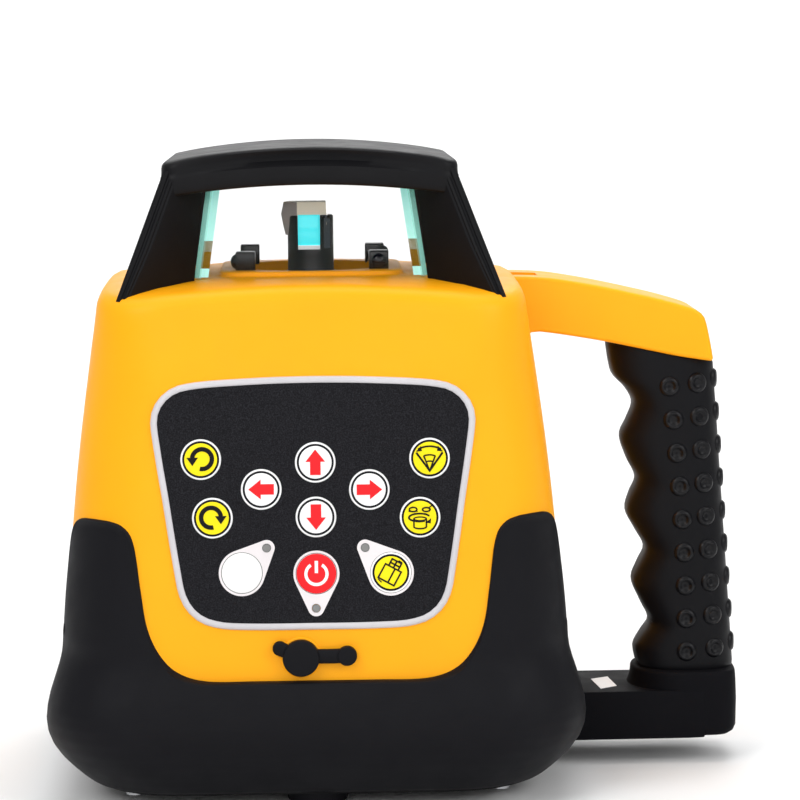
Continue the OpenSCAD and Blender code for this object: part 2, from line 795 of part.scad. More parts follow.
module casing_screws() {
    color(steel) {
        for (x = [-1, 1], y = [-1, 1])
            translate([x * 57, y * 57, 0]) {
                translate([0, 0, 2.4]) cylinder(r = 2.8, h = 1.6, $fn = 32);
                translate([0, 0, 3.9]) cylinder(r = 1.25, h = 18, $fn = 32);
            }
        for (x = [-1, 1], y = [-1, 1])
            translate([x * 50, y * 50, 0]) {
                translate([0, 0, 154.6]) cylinder(r = 2.8, h = 1.6, $fn = 32);
                translate([0, 0, 156.1]) cylinder(r = 1.25, h = 8, $fn = 32);
            }
        for (y = [-1, 1])
            translate([60, y * 12, 0]) {
                translate([0, 0, 2.4]) cylinder(r = 2.8, h = 1.6, $fn = 32);
                translate([0, 0, 3.9]) cylinder(r = 1.25, h = 12, $fn = 32);
            }
        translate([120, 0, 11]) cylinder(r = 3, h = 2, $fn = 32);
        translate([120, 0, 12.9]) cylinder(r = 1.25, h = 40, $fn = 32);
    }
}

upper_casing();
rubber_boot();
base_plate();
rubber_feet();
tripod_insert();
roof_cage();
front_glass();
rear_glass();
left_glass();
right_glass();
remote_receivers();
dust_seal();
prism_housing();
pentaprism();
spindle();
rotor_pulley();
drive_belt();
spin_motor();
motor_pulley();
laser_tube();
collimator_lens();
laser_diode_module();
spindle_bearings();
tube_pins();
gimbal_ring();
ring_pins();
gimbal_frame();
level_sensors();
level_motor_x();
level_motor_y();
traveller_nut_x();
traveller_nut_y();
keypad_overlay();
keypad_bezel();
keypad_board();
key_turn_left();
key_turn_right();
key_up();
key_down();
key_left();
key_right();
key_scan();
key_speed();
key_manual();
key_power();
key_shock();
status_leds();
main_board();
charge_socket();
port_cover();
port_cover_anchor();
battery_holder();
battery_cells();
battery_door();
door_hinge_pin();
door_knob();
handle_grip();
handle_core();
lower_arm();
casing_screws();
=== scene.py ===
import json
from math import acos, asin, atan2, copysign, cos, degrees, hypot, pi, radians, sin

import bmesh
import bpy
from mathutils import Matrix, Vector


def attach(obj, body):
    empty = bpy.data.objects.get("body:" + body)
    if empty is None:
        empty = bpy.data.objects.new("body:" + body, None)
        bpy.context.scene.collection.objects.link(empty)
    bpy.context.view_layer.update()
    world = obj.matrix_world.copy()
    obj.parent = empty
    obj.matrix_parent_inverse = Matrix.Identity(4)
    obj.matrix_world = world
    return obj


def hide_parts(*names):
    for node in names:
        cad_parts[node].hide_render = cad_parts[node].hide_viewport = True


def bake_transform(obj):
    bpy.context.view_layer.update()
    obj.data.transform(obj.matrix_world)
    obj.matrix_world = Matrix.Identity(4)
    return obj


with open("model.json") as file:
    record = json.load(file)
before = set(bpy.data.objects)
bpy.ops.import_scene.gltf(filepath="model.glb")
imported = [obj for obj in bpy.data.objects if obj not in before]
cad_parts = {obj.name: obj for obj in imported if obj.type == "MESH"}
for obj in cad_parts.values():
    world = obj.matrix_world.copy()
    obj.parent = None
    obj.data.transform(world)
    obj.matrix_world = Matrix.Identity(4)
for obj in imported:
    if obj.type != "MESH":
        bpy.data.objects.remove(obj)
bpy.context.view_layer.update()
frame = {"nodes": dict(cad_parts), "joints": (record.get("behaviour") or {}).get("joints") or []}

# Lengths below are in millimetres; MM turns them into metres when a mesh is made.
MM = 0.001

# Driving sizes, the same as the CAD's
BODY_HALF, SHOULDER_HALF, SHOULDER_Z = 78.0, 65.7, 157.0
CORNER_R, WALL = 27.0, 2.6
BASE_HALF, BASE_Z, BULGE_Z = 70.6, 7.7, 26.0
PANEL_Z, PANEL_Y = 95.5, 73.34
TILT = atan2(-frame["joints"][-1]["axis"][2], frame["joints"][-1]["axis"][1])
ARM_HALF = 18.3
GRIP_HALF, GRIP_X, GRIP_POWER = 14.5, 120.0, 2.7
GRIP_SCREW_R = 3.2
PORT_X, PORT_Z, PORT_FACE = -4.6, 48.6, -78.3
KNOB_Y, HINGE_Y, HINGE_R = 28, -35, 2.2


# ---------------------------------------------------------------- small tools

def case_half(z):
    """Half width of the casing at height z."""
    return BODY_HALF - (BODY_HALF - SHOULDER_HALF) * ((z - 20.0) / (SHOULDER_Z - 20.0)) ** 2


def lerp(a, b, t):
    return a + (b - a) * t


def flatten(z):
    """Factor on Y that makes the front and rear faces flat behind the keypad and the door."""
    low, high = 57.0, 134.0
    if z <= low or z >= high:
        return 1.0
    return lerp(case_half(low), case_half(high), (z - low) / (high - low)) / case_half(z)


def flat_ring(half, r, z):
    return [(x, y * flatten(zz), zz) for x, y, zz in square_ring(half, r, z)]


def bent(value, power):
    """Power of a value that keeps its sign."""
    return copysign(abs(value) ** power, value)


def quarter(x, y, turns):
    """Point turned by a number of quarter turns about the middle."""
    ang = turns * pi / 2
    return x * cos(ang) - y * sin(ang), x * sin(ang) + y * cos(ang)


def circle(cx, cy, r, n=64):
    return [(cx + r * cos(2 * pi * i / n), cy + r * sin(2 * pi * i / n)) for i in range(n)]


def hoop(centre, side, up, radius, n):
    """Circle of n points about a centre, in the plane of two unit vectors."""
    angles = [2 * pi * i / n for i in range(n)]
    return [tuple(centre + radius * (cos(t) * side + sin(t) * up)) for t in angles]


def curve_at(points, x):
    """Linear table look-up: y at x, for points sorted by x."""
    if x <= points[0][0]:
        return points[0][1]
    for (x0, y0), (x1, y1) in zip(points, points[1:]):
        if x <= x1:
            return lerp(y0, y1, (x - x0) / (x1 - x0))
    return points[-1][1]


def spline(points, count):
    """Catmull-Rom curve through plane points, with count samples evenly spaced along it."""
    pts = [complex(*p) for p in points[:1] + points + points[-1:]]
    dense, steps = [], 24
    for p0, p1, p2, p3 in zip(pts, pts[1:], pts[2:], pts[3:]):
        for k in range(steps):
            t = k / steps
            dense.append(0.5 * (2 * p1 + (p2 - p0) * t + (2 * p0 - 5 * p1 + 4 * p2 - p3) * t * t
                                + (3 * p1 - p0 - 3 * p2 + p3) * t ** 3))
    dense.append(pts[-1])
    run = [0.0]
    for a, b in zip(dense, dense[1:]):
        run.append(run[-1] + abs(b - a))
    by_length = list(zip(run, dense))
    samples = [curve_at(by_length, run[-1] * k / (count - 1)) for k in range(count)]
    return [(p.real, p.imag) for p in samples]


def linked(name, data):
    """New object in the scene that shows a mesh, a curve, a light or a camera."""
    obj = bpy.data.objects.new(name, data)
    bpy.context.scene.collection.objects.link(obj)
    return obj


def new_object(name, verts, faces):
    """Mesh object from points in millimetres."""
    mesh = bpy.data.meshes.new(name)
    mesh.from_pydata([tuple(c * MM for c in v) for v in verts], [], faces)
    return linked(name, mesh)


def smooth(mesh, angle=35.0):
    """Smooth shading with sharp edges above an angle."""
    for poly in mesh.polygons:
        poly.use_smooth = True
    mesh.set_sharp_from_angle(angle=radians(angle))


def face_outwards(mesh, weld=False):
    bm = bmesh.new()
    bm.from_mesh(mesh)
    if weld:
        bmesh.ops.remove_doubles(bm, verts=bm.verts, dist=1e-6)
    bmesh.ops.recalc_face_normals(bm, faces=bm.faces)
    bm.to_mesh(mesh)
    bm.free()


def tidy(obj, angle=35.0):
    face_outwards(obj.data, weld=True)
    smooth(obj.data, angle)


def place(obj, replaces, body):
    if body:
        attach(obj, body)
    if replaces:
        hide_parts(replaces)


def make(name, shape, mats, replaces=None, body="housing", face_mat=None, angle=35.0):
    """Piece from a shape, which is its points and faces, and one material or a list of them."""
    obj = new_object(name, *shape)
    mesh = obj.data
    mesh.validate()
    mats = mats if isinstance(mats, list) else [mats]
    for mat in mats:
        mesh.materials.append(mat)
    if face_mat:
        for poly, index in zip(mesh.polygons, face_mat):
            poly.material_index = index
    tidy(obj, angle)
    place(obj, replaces, body)
    return obj


def dress(obj, mat, replaces=None, body="housing", width=0.0, segments=3, angle=40.0):
    """Makes a piece of a plain box or cylinder; width rounds its edges."""
    obj.data.materials.append(mat)
    tidy(obj)
    place(obj, replaces, body)
    if width:
        bevel(obj, width, segments, angle)


def loft(rings, loop=False):
    """Quads between rings of equal length; ends closed by one face each, or joined in a loop."""
    n, count = len(rings[0]), len(rings)
    verts = [p for ring in rings for p in ring]
    faces = []
    for i in range(count if loop else count - 1):
        a, b = i * n, ((i + 1) % count) * n
        for k in range(n):
            q = (k + 1) % n
            faces.append((a + k, a + q, b + q, b + k))
    if not loop:
        faces.append(tuple(range(n - 1, -1, -1)))
        faces.append(tuple(range((count - 1) * n, count * n)))
    return verts, faces


def square_ring(half, r, z, n_side=16, n_arc=12, warp=None):
    """Rounded square at height z; warp(x, y) may lift a point."""
    flat_half = half - r
    side = [(-flat_half + 2 * flat_half * i / n_side, -half) for i in range(n_side)]
    for i in range(n_arc):
        a = -pi / 2 + (pi / 2) * i / n_arc
        side.append((flat_half + r * cos(a), -flat_half + r * sin(a)))
    points = [quarter(x, y, k) for k in range(4) for x, y in side]
    return [(x, y, z + (warp(x, y) if warp else 0.0)) for x, y in points]


def box_mesh(name, low, high, matrix=None):
    verts = [(x, y, z) for x in (low[0], high[0]) for y in (low[1], high[1]) for z in (low[2], high[2])]
    faces = [(0, 1, 3, 2), (4, 6, 7, 5), (0, 4, 5, 1), (2, 3, 7, 6), (0, 2, 6, 4), (1, 5, 7, 3)]
    obj = new_object(name, verts, faces)
    if matrix is not None:
        obj.data.transform(matrix)
    return obj


def cylinder_mesh(name, start, end, radius):
    """Closed cylinder between two points in millimetres."""
    a, b = Vector(start), Vector(end)
    axis = (b - a).normalized()
    side = axis.orthogonal().normalized()
    up = axis.cross(side)
    return new_object(name, *loft([hoop(centre, side, up, radius, 48) for centre in (a, b)]))


def cut(obj, cutters, angle=35.0):
    """Takes the cutters out of a piece with exact booleans and removes them."""
    for cutter in cutters:
        face_outwards(cutter.data)
        mod = obj.modifiers.new("cut", "BOOLEAN")
        mod.operation = "DIFFERENCE"
        mod.solver = "EXACT"
        mod.object = cutter
    apply_modifiers(obj)
    for cutter in cutters:
        bpy.data.objects.remove(cutter)
    smooth(obj.data, angle)


def apply_modifiers(obj):
    bpy.context.view_layer.update()
    deps = bpy.context.evaluated_depsgraph_get()
    mesh = bpy.data.meshes.new_from_object(obj.evaluated_get(deps))
    old = obj.data
    obj.modifiers.clear()
    obj.data = mesh
    mesh.name = obj.name
    if old.users == 0:
        bpy.data.meshes.remove(old)


def bevel(obj, width, segments=3, angle=40.0):
    """Rounds the sharp edges of a piece and applies the result."""
    mod = obj.modifiers.new("round", "BEVEL")
    mod.width = width * MM
    mod.segments = segments
    mod.limit_method = "ANGLE"
    mod.angle_limit = radians(angle)
    apply_modifiers(obj)
    smooth(obj.data, 50)


def extrude_xz(outline, depth):
    """Closed prism from an XZ outline, from -depth to +depth along Y."""
    return loft([[(x, y, z) for x, z in outline] for y in (-depth, depth)])


def revolve(profile, centre=(0.0, 0.0), n=72):
    """Closed solid of revolution about a vertical axis from (radius, height) pairs."""
    return loft([[(x, y, z) for x, y in circle(*centre, r, n)] for r, z in profile])


def on_panel(x, y, z=0.0, rear=False):
    """Point of the keypad's plane (x across, y up, z outwards) in the object's frame."""
    py = -PANEL_Y + y * sin(TILT) - z * cos(TILT)
    pz = PANEL_Z + y * cos(TILT) + z * sin(TILT)
    return (-x, -py, pz) if rear else (x, py, pz)


def panel_matrix(rear=False):
    """Matrix in metres of the keypad's plane, or of the same plane on the rear wall."""
    m = Matrix.Translation(Vector((0, -PANEL_Y * MM, PANEL_Z * MM)))
    m = m @ Matrix.Rotation(pi / 2 - TILT, 4, "X")
    return Matrix.Rotation(pi, 4, "Z") @ m if rear else m


# ---------------------------------------------------------------- materials

def set_inputs(node, values):
    for key, value in values.items():
        node.inputs[key].default_value = value


def shader(name, color, rough=0.5, metallic=0.0, spec=0.5, glow=None, **sockets):
    """Principled material; glow is an emission colour and its strength."""
    mat = bpy.data.materials.new(name)
    mat.use_nodes = True
    values = {"Base Color": (*color, 1.0), "Roughness": rough, "Metallic": metallic,
              "Specular IOR Level": spec, **sockets}
    if glow:
        values.update({"Emission Color": (*glow[0], 1.0), "Emission Strength": glow[1]})
    set_inputs(mat.node_tree.nodes["Principled BSDF"], values)
    return mat


def tree(mat):
    return mat.node_tree.nodes, mat.node_tree.links


def noise(mat, size_mm, detail=2.0, stretch=None):
    """Noise in object space whose features are about size_mm across."""
    nodes, links = tree(mat)
    source = nodes.new("ShaderNodeTexCoord").outputs["Object"]
    if stretch:
        mapping = nodes.new("ShaderNodeMapping")
        mapping.inputs["Scale"].default_value = stretch
        links.new(source, mapping.inputs["Vector"])
        source = mapping.outputs["Vector"]
    tex = nodes.new("ShaderNodeTexNoise")
    set_inputs(tex, {"Scale": 1.0 / (size_mm * MM), "Detail": detail})
    links.new(source, tex.inputs["Vector"])
    return tex


def add_bump(mat, tex, depth_mm):
    """Relief on top of what the material already has."""
    nodes, links = tree(mat)
    bump = nodes.new("ShaderNodeBump")
    set_inputs(bump, {"Distance": depth_mm * MM, "Strength": 1.0})
    links.new(tex.outputs["Fac"], bump.inputs["Height"])
    normal = nodes["Principled BSDF"].inputs["Normal"]
    if normal.is_linked:
        links.new(normal.links[0].from_socket, bump.inputs["Normal"])
    links.new(bump.outputs["Normal"], normal)


def vary_rough(mat, tex, low, high):
    nodes, links = tree(mat)
    span = nodes.new("ShaderNodeMapRange")
    set_inputs(span, {"From Min": 0.3, "From Max": 0.7, "To Min": low, "To Max": high})
    links.new(tex.outputs["Fac"], span.inputs["Value"])
    links.new(span.outputs["Result"], nodes["Principled BSDF"].inputs["Roughness"])


def vary_color(mat, tex, color_a, color_b, low=0.35, high=0.65):
    nodes, links = tree(mat)
    ramp = nodes.new("ShaderNodeValToRGB")
    for stop, at, color in zip(ramp.color_ramp.elements, (low, high), (color_a, color_b)):
        stop.position = at
        stop.color = (*color, 1.0)
    links.new(tex.outputs["Fac"], ramp.inputs["Fac"])
    links.new(ramp.outputs["Color"], nodes["Principled BSDF"].inputs["Base Color"])


# Sizes of the cloudy gloss and of the tone patches on a moulded surface
CLOUD_MM, PATCH_MM = 9.0, 24.0


def moulded(name, color, rough, grain_mm, grain_depth, vary=0.06, tone=0.04, **looks):
    """Moulded plastic or rubber: spark-eroded grain, cloudy gloss and a slight tone change."""
    mat = shader(name, color, rough, **looks)
    vary_rough(mat, noise(mat, CLOUD_MM, 4.0), rough - vary, rough + vary)
    dark = tuple(c * (1 - tone) for c in color)
    light = tuple(min(1, c * (1 + tone)) for c in color)
    vary_color(mat, noise(mat, PATCH_MM, 3.0), dark, light)
    add_bump(mat, noise(mat, grain_mm, 3.0), grain_depth)
    add_bump(mat, noise(mat, grain_mm * 3.2, 2.0), grain_depth * 0.6)
    return mat


def printed(name, color, spec):
    """Ink of a key's print or a mark."""
    return moulded(name, color, 0.42, 0.4, 0.004, spec=spec)


def glass(name, color, alpha, rough=0.03, **looks):
    """Thin pane: mostly see-through, with its surface shine and a little tint."""
    mat = shader(name, color, rough, IOR=1.5, Alpha=alpha, **looks)
    vary_rough(mat, noise(mat, 14.0, 4.0), rough * 0.4, rough * 1.8)
    add_bump(mat, noise(mat, 30.0, 2.0), 0.01)
    return mat


YELLOW = moulded("casing_yellow", (0.98, 0.402, 0.003), 0.45, 0.55, 0.018, tone=0.015, spec=0.2)
RUBBER = moulded("boot_rubber", (0.0046, 0.0046, 0.0064), 0.55, 0.30, 0.010, spec=0.12)
GRIP = moulded("grip_rubber", (0.0036, 0.0036, 0.0048), 0.48, 0.30, 0.010, spec=0.12)
NUB = moulded("nub_rubber", (0.0036, 0.0036, 0.0048), 0.34, 0.30, 0.008, spec=0.20)
BLACK = moulded("cage_black", (0.0040, 0.0040, 0.0050), 0.48, 0.60, 0.030, spec=0.14)
ARM_BLACK = moulded("arm_black", (0.0052, 0.0052, 0.0066), 0.60, 0.60, 0.025, spec=0.04)
PART_BLACK = moulded("part_black", (0.015, 0.015, 0.017), 0.42, 0.35, 0.012)
STEEL = shader("turned_steel", (0.60, 0.61, 0.63), 0.28, 1.0)
ALUMINIUM = shader("anodised_aluminium", (0.50, 0.51, 0.53), 0.38, 1.0)
BRASS = shader("turned_brass", (0.72, 0.52, 0.20), 0.30, 1.0)
for metal, low, high in ((STEEL, 0.2, 0.36), (ALUMINIUM, 0.3, 0.46), (BRASS, 0.22, 0.4)):
    streak = noise(metal, 0.5, 3.0, stretch=(0.15, 0.15, 1.0))
    vary_rough(metal, streak, low, high)
    add_bump(metal, streak, 0.004)
FOAM = moulded("seal_foam", (0.62, 0.58, 0.50), 0.85, 0.6, 0.08)
LAMINATE = moulded("board_green", (0.02, 0.13, 0.05), 0.35, 1.2, 0.006)
WRAP = moulded("cell_sleeve", (0.03, 0.10, 0.30), 0.25, 6.0, 0.01)
OVERLAY = moulded("overlay_film", (0.0085, 0.0085, 0.0105), 0.46, 0.34, 0.020, spec=0.10)
BEZEL = moulded("bezel_silver", (0.56, 0.545, 0.565), 0.36, 0.5, 0.006)
vary_color(OVERLAY, noise(OVERLAY, 0.36, 3.0), (0.0038, 0.0038, 0.0052), (0.018, 0.018, 0.022), 0.42, 0.68)
LENS_GREY = moulded("lamp_grey", (0.19, 0.19, 0.185), 0.25, 1.0, 0.004)
PRINT_YELLOW = printed("print_yellow", (0.90, 0.74, 0.008), 0.15)
MARK_WHITE = printed("mark_white", (0.74, 0.70, 0.71), 0.2)
KEY_WHITE = moulded("key_white", (0.88, 0.88, 0.87), 0.36, 0.25, 0.02)
PRINT_WHITE = moulded("print_white", (0.86, 0.86, 0.86), 0.34, 0.4, 0.004)
PRINT_RED = printed("print_red", (0.86, 0.016, 0.022), 0.15)
SENSOR = moulded("receiver_black", (0.004, 0.004, 0.005), 0.22, 0.5, 0.004, spec=0.45)
LENS_BLACK = moulded("lens_black", (0.008, 0.006, 0.012), 0.12, 2.0, 0.002)
PRINT_BLACK = printed("print_black", (0.006, 0.006, 0.008), 0.12)
CLEAR = glass("pane_clear", (0.010, 0.030, 0.030), 0.03)
SIDE_TINT = glass("pane_tinted", (0.33, 0.93, 0.84), 0.26)
EDGE = glass("pane_edge", (0.22, 0.60, 0.55), 0.95, 0.2)
EDGE_CLEAR = glass("pane_edge_clear", (0.72, 0.90, 0.90), 0.30, 0.15)
# Pale pane edges: their emission is a painted glow that makes them brighter than the light they get.
EDGE_PALE_PAINTED_GLOW = glass("pane_edge_pale_painted_glow", (0.50, 0.97, 0.93), 0.95, 0.2, glow=((0.36, 0.92, 0.86), 0.25))
# Amber and olive bands low on the front edges of the side panes, without shine.
AMBER_BAND = glass("pane_foot_amber", (0.30, 0.17, 0.012), 0.92, 0.5, spec=0.0)
AMBER_PALE = glass("pane_foot_olive", (0.30, 0.28, 0.12), 0.6, 0.5, spec=0.0)
PRISM = glass("prism_glass", (0.045, 0.075, 0.10), 1.0, 0.3)
# Prism walls: their emission is a painted glow that lifts them out of the shade under the roof.
PRISM_WALL_PAINTED_GLOW = moulded("prism_matt_painted_glow", (0.90, 0.88, 0.76), 0.35, 0.4, 0.006, glow=((0.9, 0.87, 0.72), 0.16))
PRISM_SIDE = moulded("prism_ground", (0.46, 0.44, 0.47), 0.4, 0.5, 0.01)
# White seat under the prism window: its emission is a painted glow that lifts it out of shadow.
SEAT_PAINTED_GLOW = moulded("prism_seat_white_painted_glow", (0.88, 0.90, 0.90), 0.4, 0.4, 0.006, glow=((0.9, 0.95, 0.95), 0.35))
# Cyan coated prism window: its emission is a painted reflection of bright surroundings.
PRISM_FACE_PAINTED_REFLECTION = moulded("prism_coated_painted_reflection", (0.10, 0.90, 0.95), 0.10, 3.0, 0.002, glow=((0.05, 0.80, 0.90), 0.7))


# ---------------------------------------------------------------- stage, camera and light

def build_stage():
    """White floor that bends up into a wall behind the object."""
    half, bend_y, bend_r, wall_top, steps = 7000.0, 900.0, 700.0, 2600.0, 24
    profile = [(-half, 0.0), (bend_y, 0.0)]
    for i in range(steps + 1):
        a = pi / 2 * i / steps
        profile.append((bend_y + bend_r * sin(a), bend_r * (1 - cos(a))))
    profile.append((bend_y + bend_r, wall_top))
    verts = [(x, y, z) for y, z in profile for x in (-half, half)]
    faces = [(a, a + 1, a + 3, a + 2) for a in range(0, 2 * len(profile) - 2, 2)]
    floor = new_object("floor", verts, faces)
    for poly in floor.data.polygons:
        poly.use_smooth = True
    paper = shader("floor_paper", (0.86, 0.86, 0.86), 0.9)
    vary_color(paper, noise(paper, 120.0, 2.0), (0.855, 0.855, 0.855), (0.865, 0.865, 0.865))
    floor.data.materials.append(paper)


def area(name, location, target, size, power):
    """Rectangular light aimed at a target; places in metres."""
    data = bpy.data.lights.new(name, "AREA")
    data.shape = "RECTANGLE"
    data.size, data.size_y = size
    data.energy = power
    obj = linked(name, data)
    obj.location = location
    obj.rotation_euler = (Vector(target) - Vector(location)).to_track_quat("-Z", "Y").to_euler()


# Camera: place in metres, turns in degrees
CAMERA_LENS = 141.4
CAMERA_AT = (0.0, -1.0186, 0.2314)
CAMERA_PITCH, CAMERA_YAW, CAMERA_ROLL = 6.34, -1.60, -0.6


def build_camera():
    data = bpy.data.cameras.new("camera")
    data.sensor_width = 36.0
    data.lens = CAMERA_LENS
    obj = linked("camera", data)
    obj.location = CAMERA_AT
    pitch = radians(90 - CAMERA_PITCH)
    spin = Matrix.Rotation(radians(CAMERA_YAW), 4, "Z") @ Matrix.Rotation(pitch, 4, "X")
    spin = spin @ Matrix.Rotation(radians(CAMERA_ROLL), 4, "Z")
    obj.rotation_euler = spin.to_euler()
    bpy.context.scene.camera = obj


build_camera()
build_stage()
area("key", (-0.9, -1.1, 1.3), (0, 0, 0.08), (0.9, 0.9), 12.5)
area("fill", (1.1, -0.9, 0.9), (0, 0, 0.08), (0.9, 0.9), 8.5)
area("front", (0.0, -1.6, 0.5), (0, 0, 0.1), (1.4, 0.7), 4.5)
area("top", (0.0, 0.1, 1.5), (0, 0, 0.1), (1.2, 1.2), 11)
area("rear", (0.2, 1.2, 1.1), (0, 0, 0.1), (1.2, 0.6), 9)
world = bpy.data.worlds.new("studio")
world.use_nodes = True
set_inputs(world.node_tree.nodes["Background"], {"Color": (1, 1, 1, 1), "Strength": 0.42})
bpy.context.scene.world = world
bpy.context.scene.view_settings.view_transform = "Standard"


# ---------------------------------------------------------------- yellow casing

CROWN_DROP = 3.1


def crown_drop(x, y):
    """The top falls away towards the four corners."""
    fade = 3 if y < 0 else 2
    return -CROWN_DROP * min(1.0, abs(x) / 52.0) ** 2 * min(1.0, abs(y) / 60.0) ** fade


def case_visual(z):
    """Half width of the visual casing, which narrows below the bulge."""
    if z < BULGE_Z:
        return lerp(BASE_HALF, case_half(BULGE_Z), (z - BASE_Z) / (BULGE_Z - BASE_Z))
    return case_half(z)


def casing_rings():
    """Outer wall, shoulder, top, rim of the well, then down inside the wall."""
    rings = [square_ring(case_visual(z), CORNER_R, z) for z in (BASE_Z, 16.0, BULGE_Z)]
    for z in [34, 42, 50, 57] + [57 + 5.5 * i for i in range(1, 14)] + [134, 140, 146]:
        tighter = 5.6 * max(0.0, (z - 125.0) / 21.0) ** 1.5
        rings.append(flat_ring(case_half(z), CORNER_R - tighter, float(z)))
    shoulder = [(66.9, 151.0), (66.6, 154.0), (66.3, 156.2), (65.7, 158.1), (64.7, 159.5),
                (63.0, 160.4), (60.0, 160.8), (54.0, 160.95), (44.0, 161.0)]
    widest = shoulder[0][0]
    for half, z in shoulder:
        blend_in = min(1.0, (z - 150.0) / 8.0)
        rings.append(square_ring(half, CORNER_R - 6.7 - 0.2 * (widest - half), z,
                                 warp=lambda x, y: blend_in * crown_drop(x, y)))
    well = [(36.0, 16.0, 161.0), (31.0, 9.0, 161.0), (29.6, 8.0, 161.1), (29.2, 8.0, 161.4),
            (29.0, 8.0, 162.3), (28.6, 8.0, 162.6), (27.5, 12.0, 162.6), (25.3, 25.299, 162.6),
            (25.05, 25.0499, 162.3), (25.0, 24.999, 158.0), (25.0, 24.999, 155.2), (28.0, 27.999, 155.0)]
    rings += [square_ring(*row) for row in well]
    under_top = ((44.0, 22.0, 157.4), (56.0, 24.0, 157.0), (62.0, 24.0, 154.0), (63.8, 24.4, 150.0))
    rings += [square_ring(*row, warp=crown_drop) for row in under_top]
    rings += [square_ring(case_visual(z) - WALL, CORNER_R - WALL, z)
              for z in (140.0, 120.0, 95.0, 70.0, 45.0, BULGE_Z, BASE_Z)]
    return rings


def build_casing():
    case = make("casing_shell", loft(casing_rings(), loop=True), YELLOW, "upper_casing")
    rear, front = panel_matrix(rear=True), panel_matrix()
    arm_half = ARM_HALF + 0.15
    cut(case, [
        # battery opening, with a gap for each hinge lug of the door
        box_mesh("c", (-50.4, -32.8, -8), (50.4, 35.4, 8), rear),
        box_mesh("c", (27.8, -38, -1.7), (40.4, -32, 8), rear),
        box_mesh("c", (-40.4, -38, -1.7), (-27.8, -32, 8), rear),
        # opening behind the keypad
        box_mesh("c", (-43, -11.5, -6), (43, 21.5, 6), front),
        box_mesh("c", (-31, -29.5, -6), (31, -10.5, 6), front),
        # lower arm, charging port, and the anchor of the port's cover
        box_mesh("c", (50, -arm_half, 5.5), (100, arm_half, 24.5)),
        cylinder_mesh("c", (PORT_X, -90, PORT_Z), (PORT_X, -60, PORT_Z), 4.6),
        cylinder_mesh("c", (9.2, -90, 49.1), (9.2, -60, 49.1), 1.6)])


def build_upper_arm():
    """Arm over the grip: side outline with a crisp root, its long edges rounded."""
    top = spline([(58, 158.9), (66, 159.3), (76, 158.7), (84, 157.5), (93, 155.8), (102, 153.8),
                  (110.8, 151.7), (118, 149.7), (122.2, 148.3)], 26)
    end = spline([(122.2, 148.3), (124.6, 147.1), (126.2, 145.3), (127.0, 142.8), (128.2, 137.0),
                  (129.2, 131.0)], 12)
    under = spline(ARM_UNDERSIDE[::-1] + [(74, 141.2), (70.8, 141.2), (68.8, 139.6), (64, 136.0)], 26)
    shape = extrude_xz(top + end[1:] + under[1:] + [(60, 140)], 16.0)
    arm = make("upper_arm", shape, YELLOW)
    bevel(arm, 4.2, 5, 50)
    cut(arm, [box_mesh("c", (62.5, -9.0, 158.4), (73.0, 3.0, 164.0))])


# Underside of the upper arm over the grip, as x and height
ARM_UNDERSIDE = [(84, 139.7), (96, 137.5), (110.8, 134.3), (119, 132.6), (129.2, 131.0)]

build_casing()
build_upper_arm()


# ---------------------------------------------------------------- rubber boot

BOOT_FOOT, BOOT_STRAIGHT = 5.0, 54.0
BOOT_PROFILE = [
    (BOOT_FOOT, 70.9), (6.2, 72.4), (8.5, 74.6), (11.5, 77.2), (15.0, 79.9), (19.0, 82.2), (23.0, 83.6),
    (27.0, 84.0), (31.0, 83.6), (35.0, 82.7), (39.0, 81.4), (43.0, 80.1), (46.0, 79.3), (49.0, 78.9),
    (BOOT_STRAIGHT, 78.7)]


def boot_half(z):
    """Half width of the boot's outside at height z."""
    if z >= BOOT_STRAIGHT:
        return case_half(z) + lerp(1.3, 1.05, min(1.0, (z - BOOT_STRAIGHT) / 20.0))
    return curve_at(BOOT_PROFILE, z)


def plan_point(side, x, half, r):
    """Point at distance x from a side's middle, run on round the corner's arc past the flat."""
    flat_half, nominal, arc_span = half - r, 50.0, 28.0
    reach = abs(x)
    if reach <= nominal:
        px, py = reach * flat_half / nominal, -half
    else:
        a = min(pi / 4, asin(min(1.0, (reach - nominal) / arc_span)))
        px, py = flat_half + r * sin(a), -flat_half - r * cos(a)
    return quarter(px if x >= 0 else -px, py, side)


